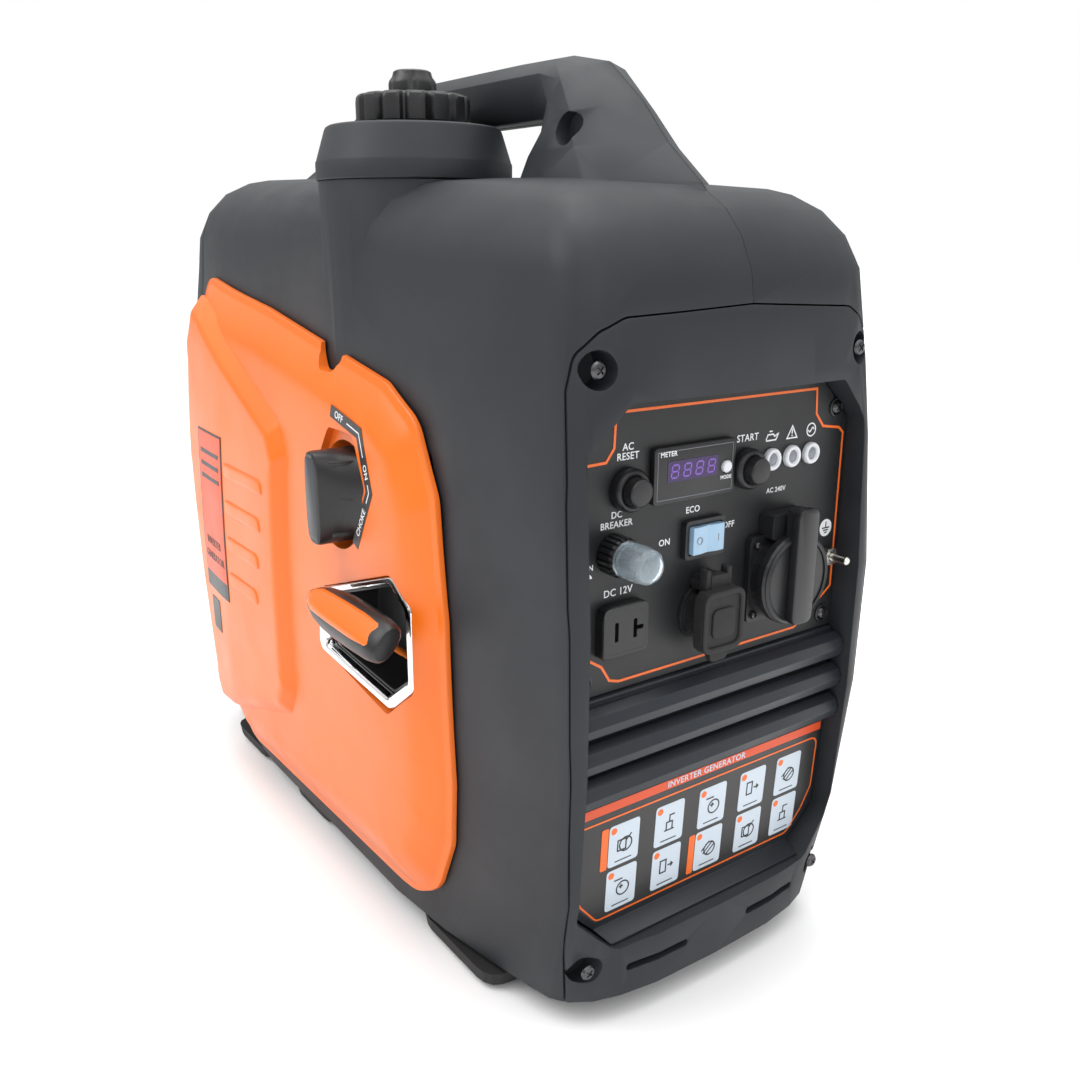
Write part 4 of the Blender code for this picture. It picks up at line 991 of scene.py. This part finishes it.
def breaker():
    """Knurled collar, clear dome and the half-disc beside them."""
    spot = on_panel(-0.0680, 0.2510, 0.0003)
    count = 20
    levels = []
    for radius, out, share in ((0.0094, 0.0, 1), (0.0096, 0.0003, 1), (0.0096, 0.0083, 1),
                               (0.0088, 0.0097, 1), (0.0076, 0.0098, 0), (0.0064, 0.0096, 0),
                               (0.0064, 0.0, 0)):
        level = []
        for i in range(count * 6):
            angle = 2 * math.pi * i / (count * 6)
            reach = radius - 0.0009 * share * (1 if i % 6 in (0, 1) else 0)
            level.append(spot + Vector((reach * math.cos(angle), -out, reach * math.sin(angle))))
        levels.append(level)
    nut = shell("breaker_nut", levels, False)
    smooth(nut, 25)
    fit(nut, black_plastic, "case", "black_plastic", "breaker_collar")
    cap = spun("breaker_dome", spot, FRONT, [
        (0.0052, 0.0101), (0.0086, 0.0101), (0.0088, 0.0105), (0.0086, 0.0215), (0.0080, 0.0256),
        (0.0064, 0.0276), (0.0040, 0.0285), (0, 0.0286), (0, 0.0268), (0.0040, 0.0264),
        (0.0062, 0.0252), (0.0072, 0.0215), (0.0074, 0.0120), (0.0052, 0.0120)], 64)
    fit(cap, clear, "case", "clear_plastic", "breaker_cap")
    mark = slab("breaker_on", circle(-0.0820, 0.2412, 0.0022, 20, 0, 180), on_panel, PRINT,
                PRINT + 0.0001)
    printed(mark, white_ink)


def buttons():
    """The two domed push buttons in their collars."""
    for name, x, z in (("reset", -0.0603, 0.2803), ("start", 0.0168, 0.2805)):
        spot = on_panel(x, z, 0.0003)
        collar = spun(name + "_collar_ring", spot, FRONT, [
            (0.0072, 0), (0.0101, 0), (0.0103, 0.0003), (0.0103, 0.0033), (0.0099, 0.0044),
            (0.0090, 0.0054), (0.0082, 0.0056), (0.0072, 0.0052)], 64)
        fit(collar, black_plastic, "case", "black_plastic", name + "_collar")
        button = spun(name + "_dome", spot, FRONT, [
            (0, 0.0040), (0.0068, 0.0040), (0.0068, 0.0092), (0.0064, 0.0102), (0.0056, 0.0108),
            (0.0030, 0.0111), (0, 0.0112)], 64)
        fit(button, black_plastic, name + "_push", "black_plastic", name + "_button")


def economy():
    """The off ring and the on bar moulded in the rocker."""
    x, z = -0.0118, 0.2500
    reach, top = 0.0062, 0.0058
    ring = ring_line("eco_mark_0", x - reach, z, 0.0017, 0.0004, on_panel, top)
    fit(ring, lens_grey, "economy_rocker", "pale_blue_plastic")
    bar = ribbon("eco_bar", [(x + reach, z - 0.0018), (x + reach, z + 0.0018)], 0.0005, on_panel, top)
    fit(bar, lens_grey, "economy_rocker", "pale_blue_plastic")


def earth_sign():
    x, z = 0.0820, 0.2394
    printed(disc("earth_disc", x, z, 0.0048, on_panel, PRINT), white_ink)
    bars = [ribbon("bar", [(x, z + 0.0034), (x, z)], 0.0007, on_panel, PRINT + 0.0001)]
    for half, drop in ((0.0030, 0.0), (0.0020, 0.0013), (0.0010, 0.0026)):
        bars.append(ribbon("bar", [(x - half, z - drop), (x + half, z - drop)], 0.0007, on_panel,
                           PRINT + 0.0001))
    printed(joined("earth_bars", bars), black_ink)


def mains_trim():
    """Flange screws, and the rim and wide strap of the mains lid."""
    for k, (dx, dz) in enumerate(((-1, -1), (1, -1), (-1, 1), (1, 1))):
        screw("socket_screw_%d" % k, on_panel(0.0430 + dx * 0.0188, 0.2215 + dz * 0.0188, 0.0039), FRONT,
              0.0022)
    rim = spun("mains_lid_rim", on_panel(0.0430, 0.2215, 0.0003), FRONT,
               [(0.0212, 0.0150), (0.0232, 0.0148), (0.0236, 0.0156), (0.0222, 0.0166),
                (0.0208, 0.0162)], 96)
    fit(rim, black_plastic, "mains_cover", "black_plastic")
    strap = slab("mains_lid_strap", oblong(0.0430, 0.22925, 0.0150, 0.0612, 0.0050, 6), on_panel,
                 0.0160, 0.0212, 0.0010)
    fit(strap, black_plastic, "mains_cover", "black_plastic")


def dc_cover_trim():
    """Raised rim, boss and loop straps of the round socket's rubber cover."""
    x, z = -0.0105, 0.2110
    border = []
    for grow, out in ((0.0, 0.0163), (0.0, 0.0176), (-0.0006, 0.0180), (-0.0022, 0.0180),
                      (-0.0028, 0.0174), (-0.0028, 0.0163)):
        border.append([on_panel(a, b, out) for a, b in
                       oblong(x, z, 0.0276 + 2 * grow, 0.0316 + 2 * grow, 0.0068 + grow, 6)])
    rim = shell("dc_cover_rim", border, False)
    smooth(rim, 30)
    fit(rim, rubber, "dc_cover", "rubber")
    boss = slab("dc_cover_boss", oblong(x, z - 0.0010, 0.0150, 0.0150, 0.0040, 5), on_panel, 0.0163,
                0.0176, 0.0004)
    fit(boss, rubber, "dc_cover", "rubber")
    for k, dx in enumerate((-0.0070, 0.0070)):
        loop = slab("dc_loop_%d" % k, oblong(x + dx, z + 0.0195, 0.0030, 0.0125, 0.0012, 4), on_panel,
                    0.0076, 0.0128, 0.0006)
        fit(loop, rubber, "case", "rubber")


def dc_outlet_trim():
    """Raised edge of the T-slot outlet, with its upper corners clipped."""
    rim = []
    for grow, out in ((0.0004, 0.0003), (0.0004, 0.0050), (0.0, 0.0056), (-0.0012, 0.0059),
                      (-0.0018, 0.0058), (-0.0018, 0.0003)):
        corners = [(-0.0765 - grow, 0.2020 - grow), (-0.0495 + grow, 0.2020 - grow),
                   (-0.0495 + grow, 0.2215 + grow), (-0.0540 + grow, 0.2266 + grow),
                   (-0.0720 - grow, 0.2266 + grow), (-0.0765 - grow, 0.2215 + grow)]
        rim.append([on_panel(a, b, out) for a, b in rounded(corners, 0.0022, 4)])
    ring = shell("dc_outlet_rim", rim, False)
    smooth(ring, 30)
    fit(ring, black_plastic, "case", "black_plastic")


# ---------------------------------------------------------------- labels


TILE_LEFT = (-0.0660, -0.0350, -0.0040, 0.0268, 0.0560)
TILE_WIDTH = 0.0200
ICONS = (
    (((-0.6, -0.6), (-0.6, 0.3), (0.2, 0.3), (0.2, -0.6), (-0.6, -0.6)), ((0.2, 0.1), (0.7, 0.6))),
    (((-0.5, -0.6), (0.5, -0.6)), ((-0.3, -0.6), (-0.3, 0.1), (0.3, 0.1), (0.3, -0.6)),
     ((0.0, 0.1), (0.0, 0.7), (0.5, 0.7))),
    (((-0.2, 0.0), (0.2, 0.0)), ((0.0, -0.2), (0.0, 0.2)), ((-0.7, 0.7), (0.1, 0.7))),
    (((-0.6, -0.5), (-0.6, 0.6), (0.0, 0.6), (0.0, -0.5), (-0.6, -0.5)), ((0.2, 0.0), (0.7, 0.0)),
     ((0.5, 0.2), (0.7, 0.0), (0.5, -0.2))),
    (((-0.7, -0.2), (0.1, 0.5)), ((-0.5, -0.5), (0.5, 0.4)), ((-0.2, -0.7), (0.7, 0.1))),
)


def tile(name, left, low, icon):
    """One square of the instruction label: tile, dot, number bar and a line drawing."""
    middle_x, middle_z = left + TILE_WIDTH / 2, low + 0.0128
    printed(slab(name, oblong(middle_x, low + 0.0125, TILE_WIDTH, 0.0243, 0.0022, 4), on_label, 0.0002,
                 0.0003), tile_blue)
    printed(disc(name + "_dot", left + 0.0030, low + 0.0214, 0.0019, on_label, 0.0003), orange_ink)
    scale = 0.0068
    strokes = []
    for path in ICONS[icon % 5]:
        points = [(middle_x + a * scale, middle_z + b * scale) for a, b in path]
        strokes.append(ribbon("stroke", points, 0.0008, on_label, 0.0003))
    if icon % 5 in (2, 4, 0):
        strokes.append(ring_line("stroke", middle_x + 0.0012, middle_z - 0.0012, 0.0040, 0.0008, on_label,
                                 0.0003))
    strokes.append(ribbon("stroke", [(left + 0.0045, low + 0.0028), (left + 0.0155, low + 0.0028)],
                          0.0006, on_label, 0.0003))
    printed(joined(name + "_drawing", strokes), black_ink)


def front_label():
    """Instruction label on the louvre moulding: strip, outline and ten tiles."""
    sheet = [(-0.0895, 0.1180), (0.0895, 0.1180), (0.0895, 0.0800), (0.0830, 0.0660), (0.0720, 0.0535),
             (-0.0720, 0.0535), (-0.0830, 0.0660), (-0.0895, 0.0800)]
    printed(slab("label_sheet", rounded(sheet, 0.006, 5), on_label, 0.00008, 0.00018), label_grey)
    strip = [(-0.0905, 0.1176), (0.0905, 0.1176), (0.0905, 0.1228), (-0.0905, 0.1228)]
    printed(slab("label_strip", strip, on_label, 0.0001, 0.0002), red_ink)
    title = words("label_title", "INVERTER GENERATOR", 0.0, 0.1201, 0.0037, on_label, 0.0002)
    printed(title, tile_blue)
    border = [(-0.0885, 0.1135), (0.0885, 0.1135), (0.0885, 0.0810), (0.0820, 0.0675), (0.0712, 0.0548),
              (-0.0712, 0.0548), (-0.0820, 0.0675), (-0.0885, 0.0810)]
    printed(ribbon("label_border", rounded(border, 0.006, 5), 0.0010, on_label, 0.0002, True), orange_ink)
    for row, low in enumerate((0.0838, 0.0572)):
        for column, left in enumerate(TILE_LEFT):
            tile("tile_%d_%d" % (row, column), left, low, column + 2 * row)
    for k, (left, low) in enumerate(((TILE_LEFT[0], 0.0838), (TILE_LEFT[2], 0.0572))):
        band = slab("tile_band_%d" % k, oblong(left - 0.0028, low + 0.0125, 0.0044, 0.0243, 0.0010, 3),
                    on_label, 0.0002, 0.0004)
        printed(band, orange_ink)


def on_side(rise):
    """A placing rule for the left panel's surface: (back to front, height, out)."""
    def place(a, b, out):
        return at(-(half_width(-a, b) + rise + out), -a, b)
    return place


def patch(name, low_corner, high_corner, place, low, high, longest=0.008):
    """A thin rectangle that bends with the surface it lies on."""
    wide, tall = (math.ceil((high_corner[i] - low_corner[i]) / longest) for i in (0, 1))
    row = wide + 1
    points = []
    for out in (low, high):
        for k in range(tall + 1):
            b = low_corner[1] + (high_corner[1] - low_corner[1]) * k / tall
            for i in range(row):
                a = low_corner[0] + (high_corner[0] - low_corner[0]) * i / wide
                points.append(place(a, b, out))
    size = row * (tall + 1)
    faces = []
    for level in (0, size):
        for k in range(tall):
            for i in range(wide):
                first = level + k * row + i
                faces.append((first, first + 1, first + row + 1, first + row))
    border = list(range(wide))
    border += [wide + k * row for k in range(tall)]
    border += [tall * row + i for i in range(wide, 0, -1)]
    border += [k * row for k in range(tall, 0, -1)]
    for here, after in zip(border, border[1:] + border[:1]):
        faces.append((here, after, size + after, size + here))
    thing = start_mesh(name, points, (), faces)
    tidy_normals(thing)
    return thing


def printed_on_side(thing, ink):
    return printed(thing, ink, slot="orange_plastic")


def side_label():
    """A plain label with three bars and the kind of machine, and a small plain plate below it."""
    place = on_side(0.0188)
    sheet = patch("side_label", (-0.156, 0.142), (-0.104, 0.259), place, 0.0001, 0.0004)
    printed_on_side(sheet, black_ink)
    field = patch("side_label_field", (-0.1545, 0.1545), (-0.1055, 0.2575), place, 0.0004, 0.0005)
    printed_on_side(field, red_ink)
    for k, (text, z) in enumerate((("INVERTER", 0.1790), ("GENERATOR", 0.1680))):
        title = words("side_text_%d" % k, text, -0.1300, z, 0.0056, place, 0.0006, squeeze=0.92)
        printed_on_side(title, black_ink)
    for k in range(3):
        height = 0.2440 - 0.009 * k
        bar = ribbon("side_bar_%d" % k, [(-0.1500, height), (-0.1100, height)], 0.0030, place, 0.0006)
        printed_on_side(bar, black_ink)
    plate = rounded([(-0.150, 0.110), (-0.130, 0.110), (-0.130, 0.135), (-0.150, 0.135)], 0.002, 4)
    printed_on_side(slab("side_plate", plate, place, 0.0001, 0.0003), black_ink)


def stepped_open(path, longest=0.006):
    """An open path with its long runs divided."""
    points = []
    for here, after in zip(path, path[1:]):
        here, after = Vector(here), Vector(after)
        parts = max(1, math.ceil((after - here).length / longest))
        points += [tuple(here.lerp(after, k / parts)) for k in range(parts)]
    return points + [path[-1]]


def switch_legend():
    """The black strip round the knob with its three positions, clear of the knob's sweep."""
    place = on_side(0.0120)
    on_strip = 0.00022
    path = [(0.0535, 0.2980), (0.0880, 0.2906), (0.1010, 0.2610), (0.0850, 0.2290)]
    printed_on_side(ribbon("switch_strip", stepped_open(path), 0.0068, place, 0.0001), black_ink)
    positions = (("switch_off", "OFF", 0.0640, 0.2957, 0.0040, -12.3),
                 ("switch_on", "ON", 0.0966, 0.2712, 0.0036, -66.0),
                 ("switch_choke", "CHOKE", 0.0920, 0.2430, 0.0036, 63.4))
    lines = ([(0.0740, 0.2936), (0.0882, 0.2904), (0.0935, 0.2785)],
             [(0.0992, 0.2650), (0.1010, 0.2610), (0.0980, 0.2550)])
    for k, (name, text, a, b, size, turn) in enumerate(positions):
        printed_on_side(words(name, text, a, b, size, place, on_strip, turn), white_ink)
        if k < len(lines):
            printed_on_side(ribbon("switch_line_%d" % k, lines[k], 0.0007, place, on_strip), white_ink)


paint_nodes()
studio()
covers()
starter()
rope()
switch()
filler()
screws()
text_on_panel()
panel_lines()
lamps()
meter()
breaker()
buttons()
economy()
earth_sign()
mains_trim()
dc_cover_trim()
dc_outlet_trim()
front_label()
side_label()
switch_legend()
